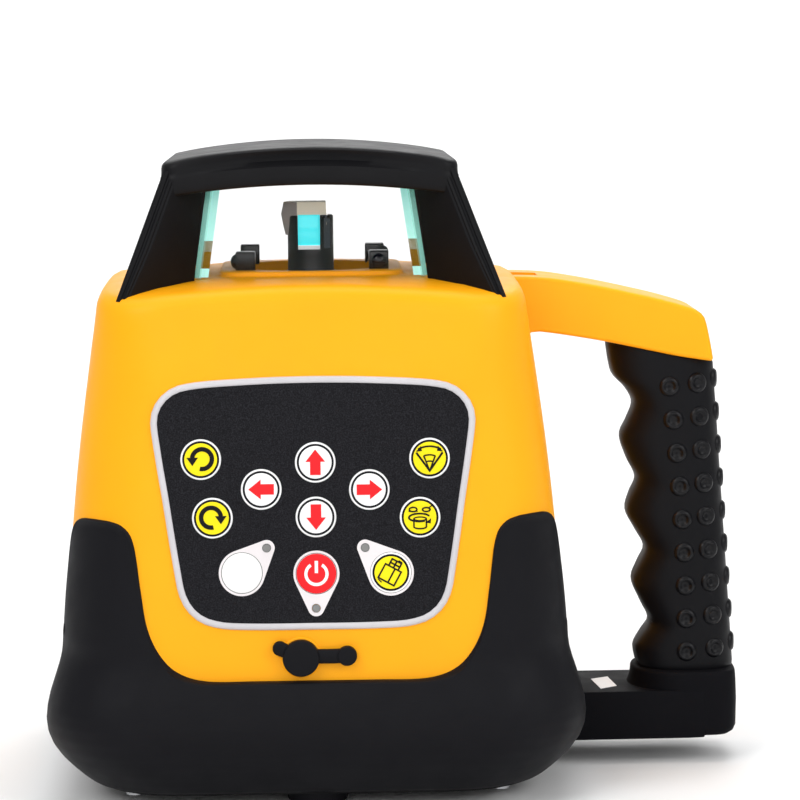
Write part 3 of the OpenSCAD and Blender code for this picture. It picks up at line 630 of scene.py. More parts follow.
def build_boot():
    """Skin swept round the base: up the outside to the ears' wavy edge, over it and down inside."""
    half_edge = spline([(0, 41.4), (18, 41.4), (33.5, 41.6), (42.5, 44.4), (48.3, 50.2), (52.2, 58.5),
                        (54.6, 70), (57.4, 83.2), (60.4, 88.0), (64.5, 89.8), (69.8, 90.2)], 72)
    edge = [(-x, z) for x, z in reversed(half_edge[1:])] + half_edge[:-1]

    def ring(height, half, r):
        """Ring round the four sides; height(top) and half(z) place each column's point."""
        points = []
        for side in range(4):
            for x, top in edge:
                z = height(top)
                px, py = plan_point(side, x, half(z), r)
                points.append((px, py * flatten(z), z))
        return points

    n_low, n_high, n_inside, split = 30, 26, 8, 34.0
    rings = [ring(lambda top: lerp(BOOT_FOOT, split, i / n_low), boot_half, CORNER_R + 2.0)
             for i in range(n_low)]
    rings += [ring(lambda top: lerp(split, top - 0.9, i / n_high), boot_half, CORNER_R + 2.0)
              for i in range(n_high + 1)]
    for share, drop in ((0.92, 0.45), (0.7, 0.15), (0.35, 0.0)):
        rings.append(ring(lambda top: top - drop,
                          lambda z: case_half(z) + share * (boot_half(z) - case_half(z)), CORNER_R + 1.0))
    rings.append(ring(lambda top: top, lambda z: case_half(z) - 0.4, CORNER_R + 1.0))
    rings += [ring(lambda top: lerp(top - 1.0, BOOT_FOOT, i / n_inside),
                   lambda z: case_visual(max(z, BASE_Z)) - 0.4, CORNER_R) for i in range(n_inside + 1)]
    boot = make("boot_skin", loft(rings, loop=True), RUBBER, "rubber_boot", angle=50)
    arm_half = ARM_HALF + 0.15
    cut(boot, [box_mesh("c", (60, -arm_half, 0), (110, arm_half, 24.6))], angle=50)


build_boot()


# ---------------------------------------------------------------- cage

def build_roof():
    """Roof arched from left to right, with a groove drawn into its faces."""
    def level(half, r, z, dz=0.0, dip=0.0):
        """Ring whose height falls by dz and whose face is drawn in by dip, along each side."""
        ring = []
        for x, y, zz in square_ring(half, r, z, n_side=32, n_arc=8):
            t = min(1.0, abs(x) / 43.0)
            inward = dip * (1 - min(1.0, min(abs(x), abs(y)) / 41.0) ** 3)
            scale = (half - inward) / half
            if abs(x) > abs(y):
                x *= scale
            else:
                y *= scale
            ring.append((x, y, zz - dz * t * t))
        return ring
    rows = [(33.2, 3, 193.0), (33.4, 3, 190.4), (44.6, 4.5, 190.5, 3.2), (45.7, 5, 190.6, 3.2),
            (46.3, 5, 191.2, 3.2), (46.4, 5, 193.0, 3.2), (46.3, 5, 195.4, 3.3), (46.3, 5, 196.4, 3.4, 0.15),
            (46.1, 5, 196.9, 3.5, 1.1), (46.0, 5, 198.2, 3.6, 2.3), (46.0, 5, 199.6, 3.7, 2.1),
            (45.8, 5, 200.7, 3.8, 1.0), (45.4, 5.5, 201.35, 3.8, 0.25), (44.8, 6, 201.85, 3.8),
            (43.8, 6.5, 202.2, 3.8), (42.4, 7, 202.35, 3.8), (38.0, 7, 202.4, 3.8), (28.0, 9, 202.45, 3.8),
            (14.0, 8, 202.45, 3.8)]
    make("cage_roof", loft([level(*row) for row in rows]), BLACK, "roof_cage", angle=50)


def build_posts():
    """Four leaning corner posts with two beads along each outer face."""
    for k in range(4):
        rings = []
        for i in range(13):
            f = i / 12
            z = lerp(156.1, 195.2, f)
            h, g = lerp(59.8, 45.2, f), lerp(37.2, 33.2, f)
            w = lerp(3.6, 4.9, min(1.0, f * 2.5))
            half = [(h - 1.1, h), (h - 0.36 * w, h - 0.05), (h - 0.44 * w, h - 0.5), (h - 0.54 * w, h - 0.5),
                    (h - 0.62 * w, h - 0.1), (h - 0.78 * w, h - 0.2), (h - 0.86 * w, h - 0.6),
                    (h - w, h - 0.62), (h - w - 0.7, h - 1.2),
                    (lerp(h - w, g, 0.5) - 1.2, lerp(h - 1, g, 0.5) + 0.5), (g - 0.3, g + 1.0)]
            section = half + [(y, x) for x, y in reversed(half)]
            rings.append([(*quarter(x, y, k), z) for x, y in section])
        make(f"cage_post_{k + 1}", loft(rings), BLACK, angle=28)


build_roof()
build_posts()


# ---------------------------------------------------------------- flat shapes and lettering-free icons

def flat(name, groups, low, high, mat, body="housing"):
    """Solid marks between two heights on the keypad's plane. Each group is an outline and its holes."""
    joined = bmesh.new()
    for k, outlines in enumerate(groups):
        curve = bpy.data.curves.new(name, "CURVE")
        curve.dimensions = "2D"
        curve.fill_mode = "BOTH"
        curve.extrude = (high - low) / 2 * MM
        for outline in outlines:
            line = curve.splines.new("POLY")
            line.points.add(len(outline) - 1)
            for point, (x, y) in zip(line.points, outline):
                point.co = (x * MM, y * MM, 0, 1)
            line.use_cyclic_u = True
        holder = linked(name, curve)
        bpy.context.view_layer.update()
        mesh = bpy.data.meshes.new_from_object(holder.evaluated_get(bpy.context.evaluated_depsgraph_get()))
        bpy.data.objects.remove(holder)
        bpy.data.curves.remove(curve)
        mesh.transform(Matrix.Translation(Vector((0, 0, ((low + high) / 2 + 0.006 * k) * MM))))
        joined.from_mesh(mesh)
        bpy.data.meshes.remove(mesh)
    bmesh.ops.remove_doubles(joined, verts=joined.verts, dist=2e-6)
    bmesh.ops.dissolve_degenerate(joined, edges=joined.edges, dist=1e-7)
    bmesh.ops.recalc_face_normals(joined, faces=joined.faces)
    obj = new_object(name, [], [])
    joined.to_mesh(obj.data)
    joined.free()
    obj.data.transform(panel_matrix())
    obj.data.materials.clear()
    obj.data.materials.append(mat)
    for poly in obj.data.polygons:
        poly.material_index = 0
    smooth(obj.data)
    place(obj, None, body)
    return obj


def arc_band(cx, cy, r, width, start, end):
    """Closed outline of part of a ring between two angles in degrees."""
    inner = oval(cx, cy, r - width / 2, r - width / 2, start, end, 36)
    return oval(cx, cy, r + width / 2, r + width / 2, start, end, 36) + inner[::-1]


def oval(cx, cy, rx, ry, start=0, end=360, n=30):
    angles = [radians(lerp(start, end, i / n)) for i in range(n + 1)]
    return [(cx + rx * cos(a), cy + ry * sin(a)) for a in angles]


def stroke(points, width, closed=False):
    """Outline of a pen line through points; a closed line gives an outer and an inner outline."""
    n = len(points)
    left, right = [], []
    for i, (x, y) in enumerate(points):
        before = points[i - 1] if (i > 0 or closed) else points[i]
        after = points[(i + 1) % n] if (i < n - 1 or closed) else points[i]
        d1 = Vector((x - before[0], y - before[1]))
        d2 = Vector((after[0] - x, after[1] - y))
        d1 = d1.normalized() if d1.length > 1e-9 else d2.normalized()
        d2 = d2.normalized() if d2.length > 1e-9 else d1
        mid = (d1 + d2).normalized()
        normal = Vector((-mid.y, mid.x))
        grow = 1.0 / max(0.5, normal.dot(Vector((-d1.y, d1.x))))
        left.append((x + normal.x * width / 2 * grow, y + normal.y * width / 2 * grow))
        right.append((x - normal.x * width / 2 * grow, y - normal.y * width / 2 * grow))
    return [left, right[::-1]] if closed else [left + right[::-1]]


def turned(points, degrees):
    a = radians(degrees)
    return [(x * cos(a) - y * sin(a), x * sin(a) + y * cos(a)) for x, y in points]


# Right half of the keypad's outline, from the top middle to the bottom middle
PANEL_RIGHT = [
    (0, 36.2), (11.5, 36.05), (23, 35.6), (31.8, 35.1), (37.2, 34.5), (40.8, 33.7), (43.6, 32.1),
    (45.7, 29.8), (46.9, 27.3), (47.25, 24.6), (47.05, 22.0), (45.6, 11.8), (43.9, 1.0), (42.1, -11.3),
    (40.2, -23.3), (39.5, -26.7), (38.2, -29.9), (36.1, -32.6), (33.2, -34.6), (29.6, -35.7),
    (25.0, -36.3), (13.5, -36.6), (0, -36.6)]
# Middles of the keys and the lamps on the keypad's plane
KEYS = {
    "turn_left": (-34.2, 13.4), "turn_right": (-30.9, -4.4), "up": (0.5, 12.1), "down": (0.5, -4.5),
    "left": (-16.0, 4.1), "right": (16.8, 3.6), "scan": (35.2, 12.9), "speed": (32.1, -5.0),
    "manual": (-22.2, -21.2), "power": (0.4, -21.7), "shock": (23.0, -21.7)}
LAMPS = {"manual": (-14.6, -13.7), "power": (0.2, -32.2), "shock": (15.3, -14.0)}
KEY_R, LAMP_R = 6.2, 1.35


def panel_outline(grow):
    """Keypad's outline, moved outwards by grow."""
    pts = spline(PANEL_RIGHT, 60)
    pts = pts + [(-x, y) for x, y in reversed(pts[1:-1])]
    out = []
    for i, (x, y) in enumerate(pts):
        ax, ay = pts[i - 1]
        bx, by = pts[(i + 1) % len(pts)]
        d = hypot(bx - ax, by - ay)
        out.append((x - (by - ay) / d * grow, y + (bx - ax) / d * grow))
    return out


def build_bezel():
    """Silver rim round the keypad: a rounded section swept along the outline."""
    section = [(0.02, -0.6), (0.02, 0.55), (0.22, 0.86), (0.6, 1.0), (1.35, 0.98), (1.85, 0.75), (2.1, 0.3),
               (2.15, -0.6)]
    rings = [[on_panel(x, y, z) for x, y in panel_outline(grow)] for grow, z in section]
    make("keypad_rim", loft(rings, loop=True), BEZEL, "keypad_bezel", angle=60)


def build_overlay():
    """Black speckled film inside the rim, cut out for the keys and the lamps."""
    holes = [circle(x, y, KEY_R + 0.12) for x, y in KEYS.values()]
    holes += [circle(x, y, LAMP_R, 32) for x, y in LAMPS.values()]
    film = flat("overlay_film", [[panel_outline(0.05)] + holes], -0.1, 0.68, OVERLAY)
    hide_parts("keypad_overlay")


def teardrop(cx, cy, r, lx, ly, lr):
    """Disc run out to a smaller disc round a lamp."""
    heading = degrees(atan2(ly - cy, lx - cx))
    spread = degrees(acos((r - lr) / hypot(lx - cx, ly - cy)))
    wide = oval(cx, cy, r, r, heading + spread, heading + 360 - spread, 40)
    return wide + oval(lx, ly, lr, lr, heading - spread, heading + spread, 16)


def domed_key(key, disc_mat, rings):
    """Raised key with a rounded rim. rings: radius, height and material index, base to middle."""
    n = 72
    shape = loft([[on_panel(x, y, z) for x, y in circle(*KEYS[key], r, n)] for r, z, _ in rings])
    which = [index for _, _, index in rings[1:] for _ in range(n)] + [0, 0]
    make("key_" + key, shape, [disc_mat, PRINT_WHITE, PRINT_BLACK], "key_" + key, "button_" + key, which, 40)


def build_keys():
    base = (5.2, -0.9, 0)
    plain = [base, (KEY_R - 0.05, -0.2, 0), (KEY_R, 0.55, 1), (6.08, 0.72, 1), (5.85, 0.80, 1),
             (5.62, 0.82, 1), (4.95, 0.86, 2), (4.92, 0.865, 0), (4.2, 0.90, 0), (2.6, 0.95, 0),
             (0.8, 0.97, 0)]
    solid = [base, (KEY_R - 0.05, -0.2, 0), (KEY_R - 0.05, 0.45, 1), (6.05, 0.74, 1), (5.92, 0.86, 0),
             (5.55, 0.93, 0), (4.4, 0.97, 0), (2.6, 0.99, 0), (0.8, 1.0, 0)]
    worn = [base, (KEY_R - 0.1, -0.2, 0), (KEY_R - 0.1, 0.5, 0), (6.12, 0.78, 0), (5.9, 1.0, 0),
            (5.5, 1.12, 0), (5.2, 1.12, 0), (4.9, 1.05, 0), (4.4, 1.03, 0), (2.6, 1.05, 0), (0.8, 1.06, 0)]
    for key in ("turn_left", "turn_right", "scan", "speed", "shock"):
        domed_key(key, PRINT_YELLOW, plain)
    for key in ("up", "down", "left", "right"):
        domed_key(key, PRINT_WHITE, plain)
    domed_key("power", PRINT_RED, solid)
    domed_key("manual", KEY_WHITE, worn)


def icon(key, groups, mat=PRINT_BLACK, top=1.04):
    """Mark printed on a key; its outlines are drawn about the key's middle."""
    dx, dy = KEYS[key]
    groups = [[[(x + dx, y + dy) for x, y in outline] for outline in group] for group in groups]
    flat("icon_" + key, groups, 0.72, top, mat, "button_" + key)


def build_icons():
    arrow = [(3.9, 0), (0.15, 3.0), (0.15, 1.6), (-3.85, 1.6), (-3.85, -1.6), (0.15, -1.6), (0.15, -3.0)]
    for key, angle in (("up", 90), ("down", -90), ("left", 180), ("right", 0)):
        icon(key, [[turned(arrow, angle)]], PRINT_RED)
    # circling arrows
    for key, side, start, end in (("turn_left", -1, -103, 172), ("turn_right", 1, 8, 283)):
        tip = side * 2.55
        head = [(tip - 1.75, 0.6), (tip + 1.75, 0.6), (tip, -1.9)]
        icon(key, [[arc_band(-side * 0.4, 0.15, 3.0, 1.35, start, end)], [head]])
    # scanned fan under a two-headed arc
    apex = -3.8
    icon("scan", [
        stroke([(-4.0, 1.7), (0, apex), (4.0, 1.7)], 0.62), [arc_band(0, apex, 7.4, 0.52, 62, 118)],
        [[(-4.1, 2.0), (-2.6, 3.7), (-2.3, 2.2)]], [[(4.1, 2.0), (2.3, 2.2), (2.6, 3.7)]],
        stroke([(-1.75, 0.7), (0, apex), (1.75, 0.7)], 0.5),
        [arc_band(0, apex, 4.8, 0.44, 68, 112)], [arc_band(0, apex, 2.9, 0.44, 66, 114)]])
    # turning head with a slow and a fast mark
    cup = [(-1.9, -0.5), (-1.9, -2.9)] + oval(0, -2.9, 1.9, 0.6, 180, 360, 10) + [(1.9, -0.5)]
    icon("speed", [
        stroke(cup, 0.46), stroke(oval(0, -0.5, 1.9, 0.55)[:-1], 0.4, True),
        stroke(oval(-0.2, -0.1, 3.2, 1.2, 20, 300), 0.55), [[(1.5, -1.7), (3.3, -0.4), (3.2, -1.9)]],
        stroke(oval(-2.1, 2.35, 1.15, 0.65)[:-1], 0.46, True), stroke([(-3.5, 1.8), (-0.7, 1.8)], 0.3),
        stroke(oval(1.9, 2.3, 1.15, 0.6)[:-1], 0.46, True), stroke([(2.6, 2.8), (3.6, 3.5)], 0.36)])
    # tilted instrument outline
    closed = [[(-2.7, 1.6), (2.7, 1.6), (2.7, -3.1), (-2.7, -3.1)]]
    lines = [[(-1.6, 1.6), (-1.6, 3.9), (1.6, 3.9), (1.6, 1.6)],
             [(0.6, 1.6), (0.6, -3.1)], [(-1.6, 2.7), (1.6, 2.7)], [(0, 1.6), (0, 3.9)]]
    pens = [stroke(line, 0.5, True) for line in closed] + [stroke(line, 0.5) for line in lines]
    groups = [[turned(outline, -29) for outline in pen] for pen in pens]
    knocks = [stroke([(-3.9, -1.8), (-2.9, -2.9)], 0.34), stroke([(2.4, 3.6), (3.5, 2.9)], 0.34)]
    icon("shock", groups + knocks)
    # power symbol
    bar = [(-0.5, 0.2), (0.5, 0.2), (0.5, 3.9), (-0.5, 3.9)]
    icon("power", [[arc_band(0, -0.1, 3.2, 0.95, 122, 418)], [bar]], PRINT_WHITE, 1.08)


def build_teardrops():
    """White printed fields that run from a key to its lamp."""
    for key, lamp in LAMPS.items():
        cx, cy = KEYS[key]
        holes = [circle(cx, cy, KEY_R + 0.1), circle(*lamp, LAMP_R, 32)]
        flat("mark_" + key, [[teardrop(cx, cy, 7.0, *lamp, 2.45)] + holes], 0.45, 0.79, MARK_WHITE)


build_bezel()
build_overlay()
build_keys()
build_icons()
build_teardrops()


# ---------------------------------------------------------------- handle

# Hand side of the grip, wavy for the fingers, flared under the arm: height and x
GRIP_WAVE = spline([
    (29.6, 105.6), (33.0, 104.7), (36.3, 104.5), (40.5, 106.9), (44.8, 109.4), (51.0, 106.6), (57.9, 103.9),
    (63.5, 105.8), (68.8, 108.0), (75.0, 104.8), (81.0, 101.9), (86.6, 103.2), (91.9, 105.2), (98.5, 102.2),
    (105.7, 100.1), (111.2, 102.4), (116.6, 104.2), (121.5, 101.8), (125.6, 97.9), (129.7, 96.6),
    (136.4, 95.6)], 160)


def grip_inner(z):
    return curve_at(GRIP_WAVE, z)


def grip_outer(z):
    return 137.0 - (z - 30.0) * 0.065


def build_grip():
    rings = []
    n, levels = 64, 80
    for i in range(levels + 1):
        f = i / levels
        z_in, z_out = lerp(30.1, 137.2, f), lerp(30.1, 130.9, f)
        x_in, x_out = grip_inner(z_in), grip_outer(z_out)
        half_x, mid = (x_out - x_in) / 2, (x_out + x_in) / 2
        tuck = 1.0 if 0 < i < levels else 0.985
        ring = []
        for k in range(n):
            a = 2 * pi * k / n
            x = mid + half_x * tuck * bent(cos(a), 2 / GRIP_POWER)
            y = GRIP_HALF * tuck * bent(sin(a), 2 / GRIP_POWER)
            z = lerp(z_in, z_out, (x - x_in) / (x_out - x_in))
            if i > 60:
                z = min(z, curve_at(ARM_UNDERSIDE, x) - 0.12)
            ring.append((x, y, z))
        rings.append(ring)
    make("grip_sleeve", loft(rings), GRIP, "handle_grip", angle=60)


def nub(centre, normal):
    """Raised round nub with a dished middle, seated in the surface."""
    r, height = 3.05, 0.85
    normal = normal.normalized()
    side = Vector((0, 0, 1)).cross(normal).normalized()
    up = normal.cross(side)
    profile = [(r + 0.35, -0.5), (r + 0.2, 0.02), (r - 0.1, 0.40), (r - 0.55, height * 0.90),
               (r - 0.85, height), (r - 1.15, height * 0.84), (r - 1.5, height * 0.38),
               (r - 1.9, height * 0.06), (0.35, -0.02)]
    return loft([hoop(centre + normal * out, side, up, radius, 28) for radius, out in profile])


def build_nubs():
    """Nine rows of dished nubs in three columns on each side, following the bowed outer edge."""
    verts, faces = [], []
    for row in range(9):
        for column in range(3):
            z = 123.0 - row * 10.85 + (0.0, 0.9, 1.6)[column]
            x_in, x_out = grip_inner(z), grip_outer(z)
            half_x, mid = (x_out - x_in) / 2, (x_out + x_in) / 2
            x = (120.5 - 0.00073 * (z - 36) ** 2, x_out - 6.7, x_out - 0.42)[column]
            u = min(0.985, (x - mid) / half_x)
            y = GRIP_HALF * (1 - abs(u) ** GRIP_POWER) ** (1 / GRIP_POWER)
            slope_x = bent(u, GRIP_POWER - 1) / half_x
            slope_y = (y / GRIP_HALF) ** (GRIP_POWER - 1) / GRIP_HALF
            for sign in (-1, 1):
                nub_verts, nub_faces = nub(Vector((mid + half_x * u, y * sign, z)),
                                           Vector((slope_x, slope_y * sign, 0)))
                faces += [tuple(i + len(verts) for i in face) for face in nub_faces]
                verts += nub_verts
    make("grip_nubs", (verts, faces), NUB, angle=60)


def build_lower_arm():
    """Low arm out of the boot, and the raised pad that carries the grip."""
    bore = ((GRIP_X, 0, 0), (GRIP_X, 0, 13), GRIP_SCREW_R)
    shape = extrude_xz([(56.0, 8.0), (56.0, 24.0), (126.0, 24.0), (126.0, 8.5), (121.0, 8.3)], ARM_HALF)
    arm = make("lower_handle_arm", shape, ARM_BLACK, "lower_arm")
    cut(arm, [cylinder_mesh("c", *bore)])
    bevel(arm, 1.1, 3, 40)
    levels = [(4.0, 13.0, 2.2, 8.75), (6.0, 15.2, 0.9, 9.0), (8.0, 16.6, 0.25, 9.9), (9.0, 17.3, 0.0, 11.5),
              (12.0, 17.5, 0.0, 20.0), (18.2, 17.4, 0.0, 23.4), (17.3, 17.35, 0.0, 24.4),
              (16.8, 17.3, 0.0, 26.0), (16.5, 17.2, 0.0, 27.6), (16.4, 17.1, 0.1, 29.0),
              (16.1, 16.9, 0.4, 29.7), (15.4, 16.3, 0.9, 30.05)]
    rings = []
    for left_reach, right_reach, draw_in, z in levels:
        ring = []
        for along, across in circle(0, 0, 1.0, 96):
            if along < 0:
                x, power = GRIP_X + left_reach * along, 0.9
            else:
                x, power = GRIP_X + right_reach * along ** 0.32, 0.5
            ring.append((x, (ARM_HALF - draw_in) * bent(across, power), z))
        rings.append(ring)
    pad = make("grip_pad", loft(rings), ARM_BLACK, angle=50)
    cut(pad, [cylinder_mesh("c", *bore)], angle=50)


def build_label():
    """Blank paper label on the lower arm."""
    outline = [(90.8, 3.1), (92.6, -13.0), (98.2, -8.7), (96.6, 6.6)]
    shape = loft([[(x, y, z) for x, y in outline] for z in (23.9, 24.12)])
    make("blank_label", shape, PRINT_WHITE)


build_grip()
build_nubs()
build_lower_arm()
build_label()


# ---------------------------------------------------------------- port cover

def rounded_disc(name, centre, r, low, high, edge, mat, replaces=None, body="housing", dish=0.0):
    """Disc standing off the front face along -Y with a rounded rim and a slight dome."""
    cx, cy, cz = centre
    profile = [(r, low)] + oval(r - edge, high - edge, edge, edge, 0, 90, 5)
    profile += [(r * 0.5, high + dish), (0.3, high + dish * 1.1)]
    rings = [[(x, cy - out, z) for x, z in circle(cx, cz, radius, 56)] for radius, out in profile]
    make(name, loft(rings), mat, replaces, body, angle=55)


def build_ear():
    """Small teardrop ear beside the cap, its edge rounded."""
    outline = teardrop(-11.0, 51.6, 2.2, -6.4, 49.4, 1.9)
    centre = Vector((-9.0, 50.6))
    rings = []
    for inset, out in ((0.0, 0.0), (0.0, 1.2), (0.15, 1.5), (0.5, 1.72), (1.2, 1.8)):
        ring = []
        for x, z in outline:
            away = Vector((x, z)) - centre
            away = away * (1 - inset / max(2.0, away.length))
            ring.append((centre.x + away.x, PORT_FACE - out, centre.y + away.y))
        rings.append(ring)
    make("port_cap_ear", loft(rings), RUBBER, None, "port_flap", angle=50)


def build_strap():
    """Rubber strap from the cap to its anchor."""
    half, depth, soft = 2.15, 1.6, 0.45
    section = [(-half, 0.0), (-half, depth - soft), (-half + soft, depth), (half - soft, depth),
               (half, depth - soft), (half, 0.0)]
    line = spline([(-0.8, 49.0), (2.0, 49.0), (5.0, 49.0), (7.0, 49.05), (8.8, 49.1)], 24)
    rings = [[(x, PORT_FACE - out, z + up) for up, out in section] for x, z in line]
    strap = make("port_strap", loft(rings), RUBBER, "port_cover_anchor", None, angle=50)
    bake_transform(strap)


def build_port():
    cap = (PORT_X, PORT_FACE, PORT_Z)
    rounded_disc("port_boss", (PORT_X, -74.0, PORT_Z), 6.35, 0.0, 3.95, 0.6, YELLOW)
    rounded_disc("port_cap", cap, 5.6, -0.05, 2.5, 0.7, RUBBER, "port_cover", "port_flap", 0.1)
    rounded_disc("port_cap_plug", cap, 2.2, -4.0, 0.1, 0.3, RUBBER, None, "port_flap")
    build_ear()
    build_strap()
    rounded_disc("port_anchor_head", (9.4, PORT_FACE, 49.1), 3.0, 0.0, 2.1, 0.6, RUBBER)


build_port()


# ---------------------------------------------------------------- head, windows and receivers

def upright_block(name, outline, front, back, mat, round_off=0.0):
    """Block of the rotor from an XZ outline between two depths, its edges rounded if asked."""
    shape = loft([[(x, y, z) for x, z in outline] for y in (front, back)])
    block = make(name, shape, mat, None, "rotor")
    if round_off:
        bevel(block, round_off, 2, 30)


def build_rotor_head():
    """Black upright head with an open window, a slot and a seat for the prism."""
    shape = revolve([(3.0, 159.0), (8.3, 159.0), (8.6, 159.3), (8.6, 160.4), (8.2, 160.9), (7.45, 161.2),
                     (7.4, 166.0), (7.4, 178.5), (7.1, 178.95), (3.0, 179.0)])
    head = make("rotor_head", shape, PART_BLACK, "prism_housing", "rotor")
    cut(head, [box_mesh("c", (-4.1, -12, 168.0), (3.1, -3.6, 184)),
               box_mesh("c", (4.3, -12, 168.4), (6.6, -3.2, 178.0)),
               box_mesh("c", (-4.3, -3.8, 175.6), (5.6, 5.6, 184))])
    bevel(head, 0.22, 2, 40)


def build_prism():
    """Five-sided prism; its ground left wall has its own finish."""
    plans = ((172.6, ((-4.2, -3.7), (3.2, -3.7), (3.2, 4.2), (-6.2, 4.2), (-8.1, -1.2))),
             (176.0, ((-4.2, -4.9), (5.2, -4.9), (5.2, 4.9), (-6.4, 4.9), (-8.9, -1.4))),
             (179.4, ((-4.3, -5.0), (5.2, -5.0), (5.2, 4.8), (-6.6, 4.8), (-9.5, -1.6))),
             (183.35, ((-4.3, -5.0), (5.0, -5.0), (5.0, 4.6), (-6.4, 4.6), (-8.6, -1.2))))
    verts, faces = loft([[(x, y, z) for x, y in plan] for z, plan in plans])
    # The prism's walls carry a painted glow; the ground left wall does not.
    ground = [int(sum(verts[i][0] for i in face) / len(face) < -5.2) for face in faces]
    prism = make("penta_prism", (verts, faces), [PRISM_WALL_PAINTED_GLOW, PRISM_SIDE], "pentaprism", "rotor",
                 face_mat=ground, angle=15)
    bevel(prism, 0.18, 2, 20)
    # The coated window glows with a painted reflection.
    upright_block("prism_window", [(-4.05, 169.4), (3.05, 169.4), (3.05, 179.2), (-4.05, 179.2)], -5.05, -3.5,
                  PRISM_FACE_PAINTED_REFLECTION, 0.12)
    # The white seat glows with painted light.
    upright_block("prism_seat", [(-4.05, 168.05), (3.05, 168.05), (3.05, 169.35), (-4.05, 169.35)],
                  -5.3, -3.5, SEAT_PAINTED_GLOW)
    upright_block("prism_cheek", [(3.3, 168.6), (4.3, 168.6), (5.4, 179.1), (3.3, 179.1)], -5.6, -4.2, PRISM)
    upright_block("prism_slot_back", [(4.0, 168.0), (6.3, 168.0), (6.3, 178.3), (4.0, 178.3)], -3.5, -2.6,
                  PRISM)


def build_receiver(name, cx, cy, facing, replaces=None):
    """Small infrared receiver: black block with a domed lens on the side that it faces."""
    foot, half, height = 161.9, 3.1, 6.5
    body = box_mesh(name, (cx - half, cy - half, foot), (cx + half, cy + half, foot + height))
    dress(body, SENSOR, replaces, width=0.45)
    d = Vector((cos(radians(facing)), sin(radians(facing)), 0))
    side = Vector((-d.y, d.x, 0))
    rings = []
    for i in range(9):
        a = pi / 2 * i / 8
        middle = Vector((cx, cy, foot + 3.3)) + d * (3.0 + 1.75 * sin(a))
        rings.append(hoop(middle, side, Vector((0, 0, 1)), max(2.35 * cos(a), 0.02), 32))
    make(name + "_lens", loft(rings), LENS_BLACK, angle=60)


def build_glass():
    """Coloured front and rear edges of the two side panes; the panes themselves are the CAD's."""
    foot, height, low_end, high_end = 161.4, 28.8, 161.45, 189.8
    # The pale foot and top bands carry a painted glow.
    bands = [(low_end, 164.2, EDGE_PALE_PAINTED_GLOW, "foot"), (164.2, 169.4, AMBER_BAND, "amber"),
             (169.4, 172.8, AMBER_PALE, "olive"), (172.8, high_end, EDGE_PALE_PAINTED_GLOW, "pale")]
    front = [(0.02, -1.5, low_end, high_end, EDGE, "line")] + [(-1.5, -4.3, *band) for band in bands]
    rear = [(0.02, -2.0, low_end, high_end, EDGE_CLEAR, "line")]
    for side, hand in ((-1, "l"), (1, "r")):
        for end, face, strips in ((-1, "f", front), (1, "b", rear)):
            for outer, inner, low, high, mat, tag in strips:
                rings = []
                for z in (low, high):
                    f = (z - foot) / height
                    x, y = lerp(36.5, 32.4, f), lerp(34.0, 29.9, f)
                    corners = ((outer, -0.25), (outer, 0.28), (inner, 0.28), (inner, -0.25))
                    rings.append([(side * (x + dx), end * (y + dy), z) for dx, dy in corners])
                make(f"pane_edge_{tag}_{hand}{face}", loft(rings), mat)


build_rotor_head()
build_prism()
build_receiver("receiver_a", -20.8, -18.0, 180, "remote_receivers")
build_receiver("receiver_b", -20.0, 20.0, 90)
build_receiver("receiver_c", 21.6, -18.0, -90)
build_receiver("receiver_d", 21.0, 20.0, 0)
build_glass()


# ---------------------------------------------------------------- feet, door and knob

def build_feet():
    profile = [(2.6, 1.6), (2.9, 0.6), (3.4, 0.3), (7.6, 0.0), (8.6, 0.15), (9.2, 0.6), (9.45, 1.4),
               (9.5, 4.0), (2.6, 4.0)]
    for k, angle in enumerate((-90, 30, 150)):
        a = radians(angle)
        shape = revolve(profile, (59.0 * cos(a), 59.0 * sin(a)), 56)
        make(f"foot_{k + 1}", shape, RUBBER, "rubber_feet" if k == 0 else None)


def rear_cylinder(name, start, end, radius):
    """Cylinder between two points of the door's plane."""
    return cylinder_mesh(name, on_panel(*start, rear=True), on_panel(*end, rear=True), radius)


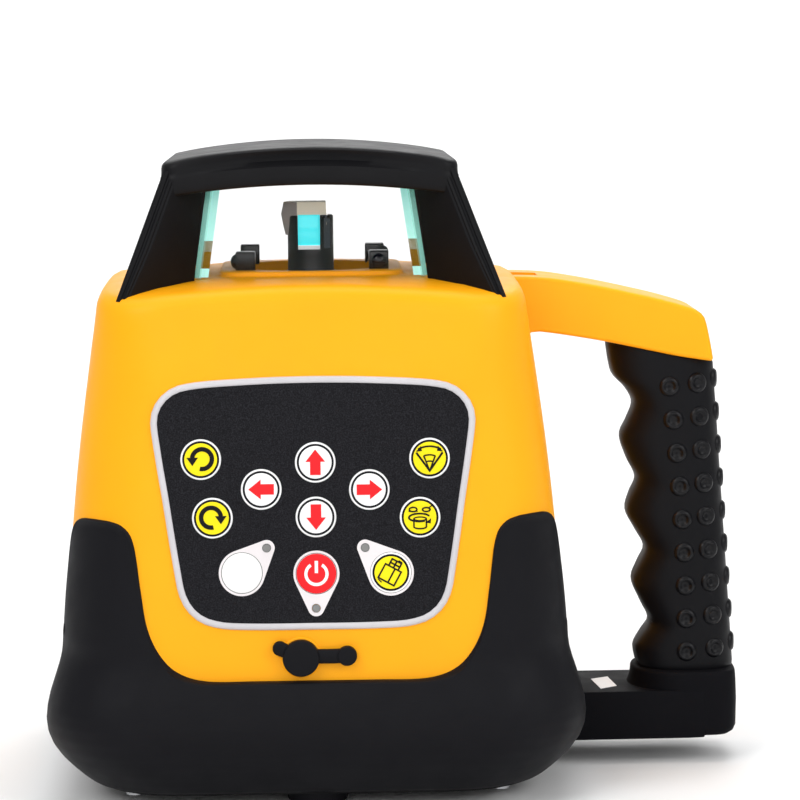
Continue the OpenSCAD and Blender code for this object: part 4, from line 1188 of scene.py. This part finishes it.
def build_door():
    """Battery door: slab with a rounded face, grip ribs and its hinge barrels."""
    def slab(inset, z):
        x, low, high, r = 50.0 - inset, -32.4 + inset, 35.0 - inset, 4.0
        ring = []
        for cx, cy, start in ((x - r, high - r, 0), (-x + r, high - r, 90), (-x + r, low + r, 180),
                              (x - r, low + r, 270)):
            ring += [on_panel(px, py, z, rear=True) for px, py in oval(cx, cy, r, r, start, start + 90, 8)]
        return ring
    steps = ((0.4, -2.4), (0.0, -2.0), (0.0, 0.4), (0.25, 0.8), (0.7, 1.0), (6.0, 1.0), (6.5, 0.7),
             (7.2, 0.7))
    door = make("door_slab", loft([slab(*step) for step in steps]), BLACK, "battery_door", "door")
    cut(door, [rear_cylinder("c", (0, KNOB_Y, -6), (0, KNOB_Y, 6), 4.05)])
    m = panel_matrix(rear=True)
    for k, x in enumerate((-34.1, 34.1)):
        lug = box_mesh(f"door_lug_{k + 1}", (x - 6, HINGE_Y, -1.2), (x + 6, -31, 0.95), m)
        dress(lug, BLACK, None, "door")
        barrel = rear_cylinder(f"door_barrel_{k + 1}", (x - 6, HINGE_Y, 1.0), (x + 6, HINGE_Y, 1.0), HINGE_R)
        dress(barrel, BLACK, None, "door", 0.3, 2, 50)
    for k in range(6):
        y = -20.0 + k * 3.4
        rib = box_mesh(f"door_rib_{k + 1}", (-26, y, 0.5), (26, y + 1.4, 1.25), m)
        dress(rib, BLACK, None, "door", 0.45)
    barrel = rear_cylinder("case_barrel", (-27.6, HINGE_Y, 1.0), (27.6, HINGE_Y, 1.0), HINGE_R)
    dress(barrel, YELLOW, None, "housing", 0.3, 2, 50)
    foot = box_mesh("case_barrel_foot", (-27.6, HINGE_Y - HINGE_R, -2), (27.6, HINGE_Y, 1.0), m)
    dress(foot, YELLOW)


def build_knob():
    m = panel_matrix(rear=True)
    stem = rear_cylinder("knob_stem", (0, KNOB_Y, -6), (0, KNOB_Y, 2), 4.0)
    disc = rear_cylinder("knob_disc", (0, KNOB_Y, 1.3), (0, KNOB_Y, 3.8), 7.0)
    bar = box_mesh("knob_bar", (-1.4, KNOB_Y - 6.6, 3.5), (1.4, KNOB_Y + 6.6, 6.3), m)
    tongue = box_mesh("knob_tongue", (-9, KNOB_Y - 3, -6.6), (9, KNOB_Y + 3, -4.6), m)
    dress(stem, PART_BLACK, "door_knob", "knob", 0.2)
    for obj, width in ((disc, 0.7), (bar, 0.9), (tongue, 0.4)):
        dress(obj, PART_BLACK, None, "knob", width)


build_feet()
build_door()
build_knob()


# ---------------------------------------------------------------- finishes of the pieces taken from the CAD

FINISHES = (
    (STEEL, "spindle spin_motor spindle_bearings tube_pins ring_pins level_motor_x level_motor_y"),
    (STEEL, "door_hinge_pin casing_screws"),
    (BRASS, "tripod_insert motor_pulley laser_diode_module traveller_nut_x traveller_nut_y"),
    (ALUMINIUM, "laser_tube gimbal_ring gimbal_frame"),
    (CLEAR, "front_glass rear_glass collimator_lens level_sensors"),
    (SIDE_TINT, "left_glass right_glass"),
    (PART_BLACK, "rotor_pulley charge_socket battery_holder handle_core"),
    (LAMINATE, "keypad_board main_board"),
    (BLACK, "base_plate"), (FOAM, "dust_seal"), (RUBBER, "drive_belt"), (LENS_GREY, "status_leds"),
    (WRAP, "battery_cells"))
for finish, nodes in FINISHES:
    for node in nodes.split():
        for slot in frame["nodes"][node].material_slots:
            slot.material = finish
